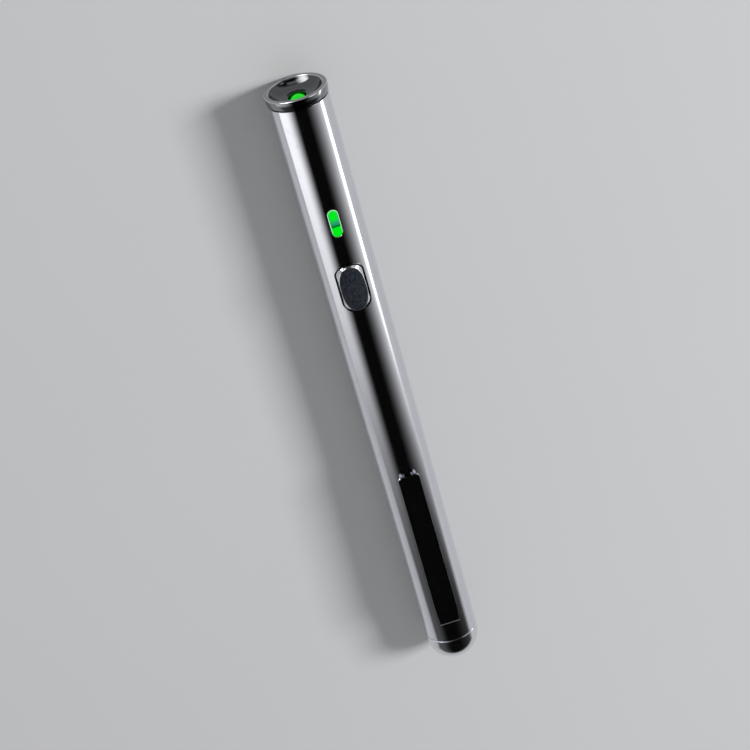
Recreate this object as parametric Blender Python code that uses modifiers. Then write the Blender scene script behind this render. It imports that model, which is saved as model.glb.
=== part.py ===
"""A slim metal laser pointer with a pocket clip, as the pieces that come apart on a bench.

Run it with: blender --background --python part.py, or from Blender's text editor.

The pointer lies along X and its beam goes to +X. The button, the indicator window and the clip face +Z.
The origin is on the table, under the middle of the length. A place along the pointer is a distance from
the front rim, which along() turns into X, and a height is counted from the pointer's own axis.
"""

import math

import bmesh
import bpy
from mathutils import Vector

MM = 0.001

# Clearances
FIT_GAP = 0.3 * MM  # round pieces that screw, slide or drop together
BOND_GAP = 0.1 * MM  # round pieces that are glued, pressed or soldered
CUT_OVERRUN = 1.0 * MM  # how far a cutter runs past a wall
FUSE_DEPTH = 0.2 * MM  # how deep one shape sits in the next before they are joined
MERGE_DISTANCE = 0.001 * MM

# Facets
SHELL_SIDES = 44
SMALL_SIDES = 24
PIN_SIDES = 12
WIRE_TURN_POINTS = 10

# Cells: two standard AAA cells in line set the bore of the barrel
CELL_DIAMETER = 10.5 * MM
CELL_LENGTH = 44.5 * MM
CELL_NUB_DIAMETER = 3.8 * MM
CELL_NUB_LENGTH = 1.0 * MM
CELL_EDGE = 0.4 * MM
CELL_CLEARANCE = 0.35 * MM

# Barrel
BARREL_WALL = 1.2 * MM
BARREL_EDGE = 0.12 * MM

# Front bezel
BEZEL_PROUD = 0.2 * MM  # at the rim, where the bezel is widest
BEZEL_FLARE = 0.14 * MM  # how much narrower its back is than its rim
BEZEL_LENGTH = 2.05 * MM
RIM_CHAMFER = 0.2 * MM
RIM_WIDTH = 0.85 * MM
LIP_CHAMFER = 0.1 * MM
DISH_DEPTH = 2.0 * MM
DISH_HOLLOW = 0.3 * MM  # how far the dish sinks below a straight cone
DISH_STEPS = 5
BEAM_HOLE_DIAMETER = 4.1 * MM
BEAM_HOLE_LENGTH = 0.9 * MM
LENS_BORE_DIAMETER = 6.8 * MM
BEZEL_SPIGOT_LENGTH = 5.95 * MM
SEAL_SECTION = 0.6 * MM
BEZEL_SEAL_PLACE = 3.4 * MM  # from the back of the bezel's rim to the middle of the seal
SEAL_STEPS = 6

# Front lens and the ring that holds it
LENS_THICKNESS = 1.3 * MM
LENS_DOME_HEIGHT = 1.3 * MM
LENS_DOME_GAP = 0.15 * MM
DOME_STEPS = 4
RETAINER_LENGTH = 1.5 * MM
RETAINER_BORE_DIAMETER = 4.8 * MM
RETAINER_SLOT_WIDTH = 1.0 * MM
RETAINER_SLOT_DEPTH = 0.5 * MM

# Laser module, front to back
MODULE_EDGE = 0.3 * MM
EXPANDER_DIAMETER = 3.0 * MM
EXPANDER_THICKNESS = 1.5 * MM
EXPANDER_HOLLOW = 0.35 * MM
EXPANDER_RECESS = 0.3 * MM
BEAM_STOP_DIAMETER = 1.8 * MM
BEAM_STOP_LENGTH = 1.2 * MM
FILTER_DIAMETER = 5.0 * MM
FILTER_THICKNESS = 1.0 * MM
CRYSTAL_MOUNT_LENGTH = 5.2 * MM
CRYSTAL_SIDE = 1.4 * MM
CRYSTAL_INSET = 0.3 * MM
DIODE_CAP_DIAMETER = 3.55 * MM
DIODE_CAP_LENGTH = 2.3 * MM
DIODE_WINDOW_DIAMETER = 1.6 * MM
DIODE_WINDOW_DEPTH = 0.25 * MM
DIODE_FLANGE_DIAMETER = 5.6 * MM
DIODE_FLANGE_THICKNESS = 1.2 * MM
DIODE_PIN_DIAMETER = 0.45 * MM
DIODE_PIN_LENGTH = 4.6 * MM
DIODE_PIN_SPREAD = 1.1 * MM
CLAMP_LENGTH = 2.0 * MM
CLAMP_BORE_DIAMETER = 3.4 * MM
BOARD_CHAMBER_DIAMETER = 8.6 * MM
BOARD_CHAMBER_LENGTH = 3.1 * MM

# Indicator window and its two lamps
WINDOW_FROM_MODULE = 5.15 * MM  # from the back of the module to the middle of the window
WINDOW_SLOT_LENGTH = 6.8 * MM
WINDOW_SLOT_WIDTH = 2.4 * MM
WINDOW_GAP = 0.25 * MM
WINDOW_RECESS = 0.1 * MM
WINDOW_FLANGE_REACH = 0.7 * MM
WINDOW_FLANGE_THICKNESS = 0.8 * MM
LAMP_DIAMETER = 3.0 * MM
LAMP_SPACING = 3.5 * MM
LAMP_FOOT_REACH = 0.1 * MM
LAMP_FOOT_THICKNESS = 0.7 * MM

# Button
BUTTON_FROM_WINDOW = 16.8 * MM  # middle to middle
BUTTON_LENGTH = 11.2 * MM
BUTTON_WIDTH = 6.1 * MM
BUTTON_CORNER = 2.1 * MM
BUTTON_PROUD = 0.55 * MM
BUTTON_EDGE_PROUD = 0.05 * MM
BUTTON_TRAVEL = 0.45 * MM
BUTTON_CORNER_STEPS = 6
BUTTON_SIDE_STEPS = 4
BUTTON_LIP_REACH = 0.8 * MM
BUTTON_LIP_WIDTH = 4.0 * MM
BUTTON_LIP_THICKNESS = 0.8 * MM
PAD_LENGTH = 10.8 * MM
PAD_WIDTH = 5.6 * MM
PAD_POWER_SHARE = 2.4  # 2 is an ellipse, and a larger power is squarer
PAD_THICKNESS = 0.4 * MM
PAD_PROUD = 0.06 * MM
PAD_EDGE = 0.1 * MM
PAD_DISH = 0.18 * MM
PAD_RING_SHARES = (0.94, 0.75, 0.5, 0.25)

# Switch under the button
SWITCH_SIDE = 6.0 * MM
SWITCH_EDGE = 0.3 * MM
PLUNGER_DIAMETER = 2.4 * MM
PLUNGER_LENGTH = 1.6 * MM
PLUNGER_PROUD = 0.7 * MM
PLUNGER_EDGE = 0.2 * MM

# Driver board and its tray
BOARD_WIDTH = 9.4 * MM
BOARD_THICKNESS = 1.0 * MM
BOARD_TONGUE_WIDTH = 7.4 * MM
BOARD_TONGUE_LENGTH = 2.4 * MM
BOARD_TAIL = 2.6 * MM  # from the button's rear lip to the end of the board
TRAY_WALL = 1.0 * MM
TRAY_RIB_LENGTH = 1.0 * MM
TRAY_RIB_RISE = 0.6 * MM
TRAY_ARC_STEPS = 24
CHIP_LENGTH = 4.9 * MM
CHIP_WIDTH = 3.9 * MM
CHIP_HEIGHT = 1.5 * MM
CHIP_EDGE = 0.15 * MM
CHIP_LEGS = 4
CHIP_LEG_PITCH = 1.27 * MM
CHIP_LEG_WIDTH = 0.42 * MM
CHIP_LEG_REACH = 1.0 * MM
CHIP_LEG_THICKNESS = 0.2 * MM
COIL_DIAMETER = 4.0 * MM
COIL_HEIGHT = 2.0 * MM
COIL_WAIST = 0.5 * MM
COIL_DISC = 0.4 * MM
CAPACITOR_DIAMETER = 3.0 * MM
CAPACITOR_LENGTH = 5.4 * MM
CAPACITOR_EDGE = 0.3 * MM
CAPACITOR_GROOVE = 0.2 * MM
RESISTOR_LENGTH = 3.2 * MM
RESISTOR_WIDTH = 1.6 * MM
RESISTOR_HEIGHT = 0.6 * MM
RESISTOR_EDGE = 0.1 * MM
PART_SPACING = 1.5 * MM

# Contacts
BULKHEAD_THICKNESS = 1.0 * MM
BULKHEAD_HOLE_DIAMETER = 1.6 * MM
FRONT_SPRING_LENGTH = 2.6 * MM
FRONT_SPRING_WIRE = 0.5 * MM
FRONT_SPRING_BASE_DIAMETER = 6.6 * MM
FRONT_SPRING_TIP_DIAMETER = 2.6 * MM
FRONT_SPRING_TURNS = 2
TAIL_SPRING_WIRE = 0.6 * MM
TAIL_SPRING_BASE_DIAMETER = 7.0 * MM
TAIL_SPRING_TIP_DIAMETER = 4.6 * MM
TAIL_SPRING_TURNS = 5
TAIL_CONTACT_THICKNESS = 0.6 * MM

# Tail cap
CAP_END_CLEARANCE = 0.4 * MM
CAP_SPIGOT_LENGTH = 4.85 * MM
CAP_SPIGOT_WALL = 1.2 * MM
CAP_SKIRT = 2.15 * MM
CAP_SEAL_PLACE = 1.3 * MM  # from the cap's seam forward to the middle of the seal
CAP_EDGE = 0.15 * MM
CAP_DOME_STEPS = 9

# Pocket clip
CLIP_ROOT_FROM_SEAM = 7.1 * MM  # from the cap's front edge forward to the middle of the clip's leg
CLIP_LENGTH = 47.4 * MM
CLIP_THICKNESS = 0.6 * MM
CLIP_TIP_WIDTH = 5.25 * MM
CLIP_WIDEST = 5.6 * MM
CLIP_WIDEST_FROM_ROOT = 6.0 * MM
CLIP_ROOT_WIDTH = 5.0 * MM
CLIP_TIP_CORNER = 0.9 * MM
CLIP_BEND = 0.7 * MM
CLIP_RISE = 0.75 * MM  # clear height under the clip at its root
CLIP_LAND = 2.5 * MM  # the flat that holds cloth against the barrel
CLIP_TOE = 3.6 * MM  # from the land to the end of the turned-up toe
CLIP_TIP_LIFT = 0.3 * MM
CLIP_LEG_WIDTH = 3.6 * MM
CLIP_LEG_DEPTH = 1.0 * MM
CLIP_SLOT_GAP = 0.15 * MM
CLIP_EDGE = 0.15 * MM
CLIP_BEND_STEPS = 6
CLIP_ARM_STEPS = 16
CLIP_TOE_STEPS = 5
CLIP_CORNER_STEPS = 6

# Sizes that follow from the ones above, from the axis outwards
BORE_RADIUS = CELL_DIAMETER / 2 + CELL_CLEARANCE
BARREL_RADIUS = BORE_RADIUS + BARREL_WALL
BEZEL_RADIUS = BARREL_RADIUS + BEZEL_PROUD
INSERT_RADIUS = BORE_RADIUS - FIT_GAP  # spigots, the module and whatever else fills the bore
LENS_BORE_RADIUS = LENS_BORE_DIAMETER / 2
LENS_RADIUS = LENS_BORE_RADIUS - BOND_GAP
SEAL_GROOVE_RADIUS = INSERT_RADIUS - SEAL_SECTION - BOND_GAP
AXIS_HEIGHT = BEZEL_RADIUS
CAP_BORE_RADIUS = INSERT_RADIUS - CAP_SPIGOT_WALL

# Distances from the front rim
BARREL_START = BEZEL_LENGTH + FIT_GAP
LENS_SEAT = DISH_DEPTH + BEAM_HOLE_LENGTH
LENS_START = LENS_SEAT + BOND_GAP
RETAINER_START = LENS_START + LENS_THICKNESS + BOND_GAP
NOSE_START = RETAINER_START + RETAINER_LENGTH + FIT_GAP
BEZEL_END = BEZEL_LENGTH + BEZEL_SPIGOT_LENGTH
MODULE_START = BEZEL_END + FIT_GAP
EXPANDER_START = NOSE_START + EXPANDER_RECESS
EXPANDER_SEAT = EXPANDER_START + EXPANDER_THICKNESS + BOND_GAP
CRYSTAL_BORE_START = EXPANDER_SEAT + BEAM_STOP_LENGTH
FILTER_START = CRYSTAL_BORE_START + BOND_GAP
MOUNT_START = FILTER_START + FILTER_THICKNESS + BOND_GAP
MOUNT_END = MOUNT_START + CRYSTAL_MOUNT_LENGTH
DIODE_START = MOUNT_END + FIT_GAP
FLANGE_START = DIODE_START + DIODE_CAP_LENGTH
DIODE_SEAT = FLANGE_START - BOND_GAP
FLANGE_END = FLANGE_START + DIODE_FLANGE_THICKNESS
CLAMP_START = FLANGE_END + BOND_GAP
CLAMP_END = CLAMP_START + CLAMP_LENGTH
CHAMBER_START = CLAMP_END + FIT_GAP
MODULE_END = CHAMBER_START + BOARD_CHAMBER_LENGTH
WINDOW_PLACE = MODULE_END + WINDOW_FROM_MODULE
BUTTON_PLACE = WINDOW_PLACE + BUTTON_FROM_WINDOW
BOARD_START = MODULE_END - BOARD_TONGUE_LENGTH
TRAY_START = MODULE_END + FIT_GAP
BOARD_END = BUTTON_PLACE + BUTTON_LENGTH / 2 + BUTTON_LIP_REACH + BOARD_TAIL
BULKHEAD_START = BOARD_END + FIT_GAP
BULKHEAD_END = BULKHEAD_START + BULKHEAD_THICKNESS
FRONT_SPRING_START = BULKHEAD_END + BOND_GAP
CELLS_START = FRONT_SPRING_START + FRONT_SPRING_LENGTH + FIT_GAP
REAR_CELL_START = CELLS_START + CELL_LENGTH + FIT_GAP
CELLS_END = REAR_CELL_START + CELL_LENGTH
CAP_START = CELLS_END + CAP_END_CLEARANCE
CAP_SEAM = CAP_START + CAP_SPIGOT_LENGTH
BARREL_END = CAP_SEAM - FIT_GAP
DOME_START = CAP_SEAM + CAP_SKIRT
TOTAL_LENGTH = DOME_START + BARREL_RADIUS
CAP_FLOOR = DOME_START + BOND_GAP
TAIL_CONTACT_START = CAP_FLOOR - BOND_GAP - TAIL_CONTACT_THICKNESS
CLIP_ROOT = CAP_SEAM - CLIP_ROOT_FROM_SEAM

# Heights above the pointer's axis
BOARD_TOP = BOARD_THICKNESS / 2
PART_FOOT = BOARD_TOP + BOND_GAP
LIP_TOP = math.sqrt(BORE_RADIUS**2 - (BUTTON_LIP_WIDTH / 2) ** 2) - FIT_GAP
BUTTON_UNDERSIDE = LIP_TOP - BUTTON_LIP_THICKNESS
PLUNGER_TOP = BUTTON_UNDERSIDE - FIT_GAP
SWITCH_TOP = PLUNGER_TOP - PLUNGER_PROUD
CLIP_PIVOT_HEIGHT = BARREL_RADIUS - BARREL_WALL / 2


def along(distance):
    """X of a place that lies this far behind the front rim."""
    return TOTAL_LENGTH / 2 - distance


def clear_scene():
    for obj in list(bpy.data.objects):
        bpy.data.objects.remove(obj, do_unlink=True)


def new_collection(name):
    collection = bpy.data.collections.new(name)
    bpy.context.scene.collection.children.link(collection)
    return collection


def finish(name, color, roughness, metallic, glass=0.0):
    """A plain Principled material."""
    material = bpy.data.materials.new(name)
    material.use_nodes = True
    shader = material.node_tree.nodes["Principled BSDF"]
    shader.inputs["Base Color"].default_value = (*color, 1)
    shader.inputs["Roughness"].default_value = roughness
    shader.inputs["Metallic"].default_value = metallic
    shader.inputs["Transmission Weight"].default_value = glass
    material.diffuse_color = (*color, 1)
    return material


def make_finishes():
    return {
        "polished": finish("polished_chrome", (0.78, 0.79, 0.82), 0.09, 1),
        "dark_polished": finish("dark_polished_bezel", (0.52, 0.53, 0.56), 0.12, 1),
        "spring_steel": finish("clip_steel", (0.62, 0.63, 0.66), 0.12, 1),
        "pad": finish("slate_pad", (0.03, 0.035, 0.045), 0.65, 0),
        "green_glass": finish("green_lens", (0.08, 0.8, 0.12), 0.05, 0, 0.7),
        "clear_glass": finish("clear_glass", (0.85, 0.95, 0.9), 0.03, 0, 0.95),
        "brass": finish("brass", (0.72, 0.53, 0.22), 0.28, 1),
        "copper": finish("copper", (0.75, 0.38, 0.22), 0.3, 1),
        "gold": finish("gold_plate", (0.85, 0.66, 0.3), 0.2, 1),
        "rubber": finish("black_rubber", (0.02, 0.02, 0.02), 0.7, 0),
        "board": finish("board_green", (0.03, 0.2, 0.07), 0.45, 0),
        "black_plastic": finish("black_plastic", (0.025, 0.025, 0.028), 0.45, 0),
        "white_plastic": finish("white_plastic", (0.75, 0.74, 0.7), 0.4, 0),
        "ceramic": finish("dark_ceramic", (0.06, 0.06, 0.07), 0.5, 0),
        "cell": finish("cell_sleeve", (0.16, 0.2, 0.25), 0.35, 0.3),
        "aluminium": finish("aluminium_can", (0.75, 0.76, 0.77), 0.3, 1),
    }


def add_object(name, mesh, material, location=(0, 0, 0)):
    obj = bpy.data.objects.new(name, mesh)
    mesh.materials.append(material)
    PART.objects.link(obj)
    obj.location = location
    return obj


def smooth(obj, angle=math.radians(35)):
    obj.data.shade_smooth()
    obj.data.set_sharp_from_angle(angle=angle)
    return obj


def solid_mesh(name, bm):
    bmesh.ops.remove_doubles(bm, verts=bm.verts, dist=MERGE_DISTANCE)
    bmesh.ops.recalc_face_normals(bm, faces=bm.faces)
    mesh = bpy.data.meshes.new(name)
    bm.to_mesh(mesh)
    bm.free()
    return mesh


def runs_backwards(points, axis):
    """Whether a profile in the XZ plane runs the way that would turn its surface inside out."""
    pairs = zip(points, points[1:] + points[:1])
    twice_area = sum(a[0] * b[2] - b[0] * a[2] for a, b in pairs)
    return twice_area > 0 if axis == "Z" else twice_area < 0


def spin(name, points, axis, sides, material, location):
    """Turn a profile once round X or Z. A profile that starts and ends on the axis is left open there."""
    if runs_backwards(points, axis):
        points = points[::-1]
    edges = [(i, i + 1) for i in range(len(points) - 1)]
    radius = 2 if axis == "X" else 0
    if points[0][radius] or points[-1][radius]:
        edges.append((len(points) - 1, 0))
    mesh = bpy.data.meshes.new(name)
    mesh.from_pydata(points, edges, [])
    obj = add_object(name, mesh, material, location)
    turn = obj.modifiers.new("Turn", "SCREW")
    turn.axis = axis
    turn.steps = turn.render_steps = sides
    turn.use_merge_vertices = True
    turn.merge_threshold = MERGE_DISTANCE
    turn.use_smooth_shade = False
    obj.rotation_euler["XYZ".index(axis)] = math.pi / sides
    return obj


def turned(name, profile, material, sides=SHELL_SIDES, height=0):
    """A piece turned round the pointer's axis, from (distance from the rim, radius) points."""
    points = [(along(distance), 0, radius) for distance, radius in profile]
    return spin(name, points, "X", sides, material, (0, 0, AXIS_HEIGHT + height))


def turned_upright(name, profile, place, material, sides=SMALL_SIDES):
    """A piece turned round an upright axis over the board, from (height, radius) points."""
    points = [(radius, 0, height) for height, radius in profile]
    return spin(name, points, "Z", sides, material, (along(place), 0, AXIS_HEIGHT))


def block(name, size, center, material, edge=0):
    """A box at (distance from the rim, across, height), with rounded edges."""
    bm = bmesh.new()
    bmesh.ops.create_cube(bm, size=1)
    bmesh.ops.scale(bm, vec=size, verts=bm.verts)
    place = (along(center[0]), center[1], AXIS_HEIGHT + center[2])
    obj = add_object(name, solid_mesh(name, bm), material, place)
    if edge:
        bevel = obj.modifiers.new("Edges", "BEVEL")
        bevel.width = edge
        bevel.segments = 2
    return obj


def prism(name, outline, thickness, material, location, rotation=(0, 0, 0)):
    """A flat outline extruded both ways from its plane, as a closed mesh."""
    curve = bpy.data.curves.new(name, "CURVE")
    curve.dimensions = "2D"
    curve.fill_mode = "BOTH"
    curve.extrude = thickness / 2
    line = curve.splines.new("POLY")
    line.points.add(len(outline) - 1)
    for point, (x, y) in zip(line.points, outline):
        point.co = (x, y, 0, 1)
    line.use_cyclic_u = True
    drawn = bpy.data.objects.new(name + "_outline", curve)
    PART.objects.link(drawn)
    drawn.location = location
    drawn.rotation_euler = rotation
    bpy.context.view_layer.update()
    graph = bpy.context.evaluated_depsgraph_get()
    bm = bmesh.new()
    filled = bpy.data.meshes.new_from_object(drawn.evaluated_get(graph))
    bm.from_mesh(filled)
    obj = add_object(name, solid_mesh(name, bm), material)
    obj.matrix_world = drawn.matrix_world
    bpy.data.objects.remove(drawn, do_unlink=True)
    bpy.data.meshes.remove(filled)
    return obj


def loft(name, rings, material, location):
    """Skin rings of as many points each, bottom to top. A ring of one point closes an end as a fan."""
    bm = bmesh.new()
    rows = [[bm.verts.new(point) for point in ring] for ring in rings]
    for lower, upper in zip(rows, rows[1:]):
        for i in range(max(len(lower), len(upper))):
            corners = [lower[i % len(lower)], lower[(i + 1) % len(lower)]]
            corners += [upper[(i + 1) % len(upper)], upper[i % len(upper)]]
            bm.faces.new(list(dict.fromkeys(corners)))
    for end in (rows[0], rows[-1]):
        if len(end) > 2:
            bm.faces.new(end)
    return add_object(name, solid_mesh(name, bm), material, location)


def as_tool(obj, group):
    """Keep a shape only as the tool of a cut or a join."""
    PART.objects.unlink(obj)
    group.objects.link(obj)
    obj.hide_render = True
    obj.display_type = "WIRE"
    return obj


def combine(obj, tool, operation):
    step = obj.modifiers.new(operation.title(), "BOOLEAN")
    step.operation = operation
    step.solver = "EXACT"
    step.object = as_tool(tool, TOOLS)
    return obj


def cut(obj, tool):
    return combine(obj, tool, "DIFFERENCE")


def cut_all(obj, tools):
    """Cut several openings in one pass."""
    group = bpy.data.collections.new(f"{obj.name}_openings")
    TOOLS.children.link(group)
    for tool in tools:
        as_tool(tool, group)
    step = obj.modifiers.new("Openings", "BOOLEAN")
    step.operation = "DIFFERENCE"
    step.solver = "EXACT"
    step.operand_type = "COLLECTION"
    step.collection = group
    return obj


def fuse(obj, tool):
    return combine(obj, tool, "UNION")


def arc(center, radius, start, end, steps):
    """Points of an arc in a plane, both ends included."""
    angles = [start + (end - start) * i / steps for i in range(steps + 1)]
    return [(center[0] + radius * math.cos(a), center[1] + radius * math.sin(a)) for a in angles]


def rounded_rectangle(half_length, half_width, corner, corner_steps, side_steps):
    """An outline that runs round once, with points along its sides for bending onto the barrel."""
    outline = []
    for quarter, (x, y) in enumerate(((1, 1), (-1, 1), (-1, -1), (1, -1))):
        center = (x * (half_length - corner), y * (half_width - corner))
        start = quarter * math.pi / 2
        outline += arc(center, corner, start, start + math.pi / 2, corner_steps)
        next_x, next_y = ((-1, 1), (-1, -1), (1, -1), (1, 1))[quarter]
        ahead = (next_x * (half_length - corner), next_y * (half_width - corner))
        turn = start + math.pi / 2
        first = outline[-1]
        last = (ahead[0] + corner * math.cos(turn), ahead[1] + corner * math.sin(turn))
        for i in range(1, side_steps):
            share = i / side_steps
            outline.append(tuple(a + (b - a) * share for a, b in zip(first, last)))
    return outline


def stadium(half_length, half_width, steps=8):
    """A slot outline with round ends."""
    reach = half_length - half_width
    front = arc((reach, 0), half_width, -math.pi / 2, math.pi / 2, steps)
    return front + arc((-reach, 0), half_width, math.pi / 2, 3 * math.pi / 2, steps)


def superellipse(outline, half_length, half_width, power):
    """The superellipse's point in the direction of each point of another outline."""
    points = []
    for x, y in outline:
        angle = math.atan2(y, x)
        across = abs(math.cos(angle) / half_length) ** power + abs(math.sin(angle) / half_width) ** power
        reach = across ** (-1 / power)
        points.append((reach * math.cos(angle), reach * math.sin(angle)))
    return points


def scaled(outline, share):
    return [(x * share, y * share) for x, y in outline]


def flat(outline, height):
    return [(x, y, height) for x, y in outline]


def wrapped(outline, radius):
    """The outline laid on a cylinder of this radius round the pointer's axis."""
    return [(x, y, math.sqrt(radius**2 - y**2)) for x, y in outline]


def seal_ring(name, place, material):
    """A round sealing ring that lies in its groove on a spigot."""
    middle = SEAL_GROOVE_RADIUS + BOND_GAP + SEAL_SECTION / 2
    section = arc((place, middle), SEAL_SECTION / 2, 0, 2 * math.pi, SEAL_STEPS)[:-1]
    return turned(name, section, material, SMALL_SIDES)


def seal_groove(place):
    """The three sides of a groove on a spigot, front to back, for a sealing ring."""
    half = SEAL_SECTION / 2 + BOND_GAP
    return [
        (place - half, INSERT_RADIUS),
        (place - half, SEAL_GROOVE_RADIUS),
        (place + half, SEAL_GROOVE_RADIUS),
        (place + half, INSERT_RADIUS),
    ]


def least_gap(points, wire, turn_points):
    """The least distance between the surfaces of two turns of a wire."""
    nearest = min(
        (a - b).length for i, a in enumerate(points) for b in points[i + turn_points // 2 :]
    )
    return nearest - wire


def spring(name, start, end, start_diameter, end_diameter, wire, turns, material):
    """One unbroken conical coil along the pointer's axis. Start and end are outside faces of the wire."""
    count = round(turns * WIRE_TURN_POINTS)
    first = start + wire / 2
    last = end - wire / 2
    points = []
    for i in range(count + 1):
        share = i / count
        angle = share * turns * 2 * math.pi
        radius = (start_diameter + (end_diameter - start_diameter) * share) / 2 - wire / 2
        distance = first + (last - first) * share
        points.append(Vector((along(distance), radius * math.cos(angle), radius * math.sin(angle))))
    curve = bpy.data.curves.new(name, "CURVE")
    curve.dimensions = "3D"
    curve.bevel_depth = wire / 2
    curve.bevel_resolution = 1
    curve.use_fill_caps = True
    line = curve.splines.new("POLY")
    line.points.add(len(points) - 1)
    for point, place in zip(line.points, points):
        point.co = (*place, 1)
    obj = bpy.data.objects.new(name, curve)
    curve.materials.append(material)
    PART.objects.link(obj)
    obj.location = (0, 0, AXIS_HEIGHT)
    gap = least_gap(points, wire, WIRE_TURN_POINTS)
    print(f"{name}: least gap between turns {gap / MM:.2f} mm")
    return obj


def make_barrel(finishes):
    """The long tube, open at both ends, with the window slot, the button opening and the clip's slot."""
    barrel = turned(
        "barrel",
        [
            (BARREL_START, BORE_RADIUS),
            (BARREL_START, BARREL_RADIUS - BARREL_EDGE),
            (BARREL_START + BARREL_EDGE, BARREL_RADIUS),
            (BARREL_END - BARREL_EDGE, BARREL_RADIUS),
            (BARREL_END, BARREL_RADIUS - BARREL_EDGE),
            (BARREL_END, BORE_RADIUS),
        ],
        finishes["polished"],
    )
    depth = BARREL_WALL + BORE_RADIUS
    middle = AXIS_HEIGHT + CUT_OVERRUN + depth / 2
    openings = (
        ("window_slot", WINDOW_PLACE, stadium(WINDOW_SLOT_LENGTH / 2, WINDOW_SLOT_WIDTH / 2)),
        ("button_opening", BUTTON_PLACE, button_outline(FIT_GAP)),
        ("clip_slot", CLIP_ROOT, clip_slot_outline()),
    )
    tools = [
        prism(name, outline, depth, finishes["polished"], (along(place), 0, middle))
        for name, place, outline in openings
    ]
    cut_all(barrel, tools)
    return smooth(barrel)


def button_outline(gap=0):
    return rounded_rectangle(
        BUTTON_LENGTH / 2 + gap,
        BUTTON_WIDTH / 2 + gap,
        BUTTON_CORNER + gap,
        BUTTON_CORNER_STEPS,
        BUTTON_SIDE_STEPS,
    )


def clip_slot_outline():
    x = CLIP_THICKNESS / 2 + CLIP_SLOT_GAP
    y = CLIP_LEG_WIDTH / 2 + CLIP_SLOT_GAP
    return [(x, -y), (x, y), (-x, y), (-x, -y)]


def dish_profile():
    """The polished dish from its mouth down to the beam hole, hollowed a little below a straight cone."""
    mouth = BEZEL_RADIUS - RIM_CHAMFER - RIM_WIDTH - LIP_CHAMFER
    hole = BEAM_HOLE_DIAMETER / 2
    points = []
    for i in range(DISH_STEPS + 1):
        share = i / DISH_STEPS
        depth = LIP_CHAMFER + (DISH_DEPTH - LIP_CHAMFER) * share
        points.append((depth + DISH_HOLLOW * math.sin(math.pi * share), mouth + (hole - mouth) * share))
    return points


def make_bezel(finishes):
    """The screwed front ring: a rim, a dish that leads to the beam hole, and a spigot with a seal."""
    rim = BEZEL_RADIUS - RIM_CHAMFER
    back = BEZEL_RADIUS - BEZEL_FLARE
    seal_place = BEZEL_LENGTH + BEZEL_SEAL_PLACE
    profile = [
        (LENS_SEAT, BEAM_HOLE_DIAMETER / 2),
        (LENS_SEAT, LENS_BORE_RADIUS),
        (BEZEL_END, LENS_BORE_RADIUS),
        (BEZEL_END, INSERT_RADIUS),
        *reversed(seal_groove(seal_place)),
        (BEZEL_LENGTH, INSERT_RADIUS),
        (BEZEL_LENGTH, back - LIP_CHAMFER),
        (BEZEL_LENGTH - LIP_CHAMFER, back),
        (RIM_CHAMFER, BEZEL_RADIUS),
        (0, rim),
        (0, rim - RIM_WIDTH),
        *dish_profile(),
    ]
    bezel = smooth(turned("front_bezel", profile, finishes["dark_polished"]))
    seal_ring("bezel_seal", seal_place, finishes["rubber"])
    return bezel


def dome(start, height, base_radius, steps):
    """A spherical cap from the axis out to its base. It stands forward of start, or is sunk if height is
    negative."""
    sphere = (base_radius**2 + height**2) / (2 * height)
    points = []
    for i in range(steps + 1):
        radius = base_radius * i / steps
        depth = sphere - math.copysign(math.sqrt(sphere**2 - radius**2), sphere)
        points.append((start - height + depth, radius))
    return points


def make_front_lens(finishes):
    """The moulded collimating lens, whose dome shows in the beam hole, and the slotted ring behind it."""
    base = BEAM_HOLE_DIAMETER / 2 - LENS_DOME_GAP
    lens_end = LENS_START + LENS_THICKNESS
    lens = [
        *dome(LENS_START, LENS_DOME_HEIGHT, base, DOME_STEPS),
        (LENS_START, LENS_RADIUS),
        (lens_end, LENS_RADIUS),
        (lens_end, 0),
    ]
    smooth(turned("collimating_lens", lens, finishes["green_glass"], SMALL_SIDES))
    bore = RETAINER_BORE_DIAMETER / 2
    end = RETAINER_START + RETAINER_LENGTH
    ring = [(RETAINER_START, bore), (RETAINER_START, LENS_RADIUS), (end, LENS_RADIUS), (end, bore)]
    retainer = turned("lens_retainer", ring, finishes["brass"], SMALL_SIDES)
    size = (2 * RETAINER_SLOT_DEPTH, 2 * LENS_BORE_DIAMETER, RETAINER_SLOT_WIDTH)
    cut(retainer, block("retainer_slot", size, (end, 0, 0), finishes["brass"]))
    smooth(retainer)


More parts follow.
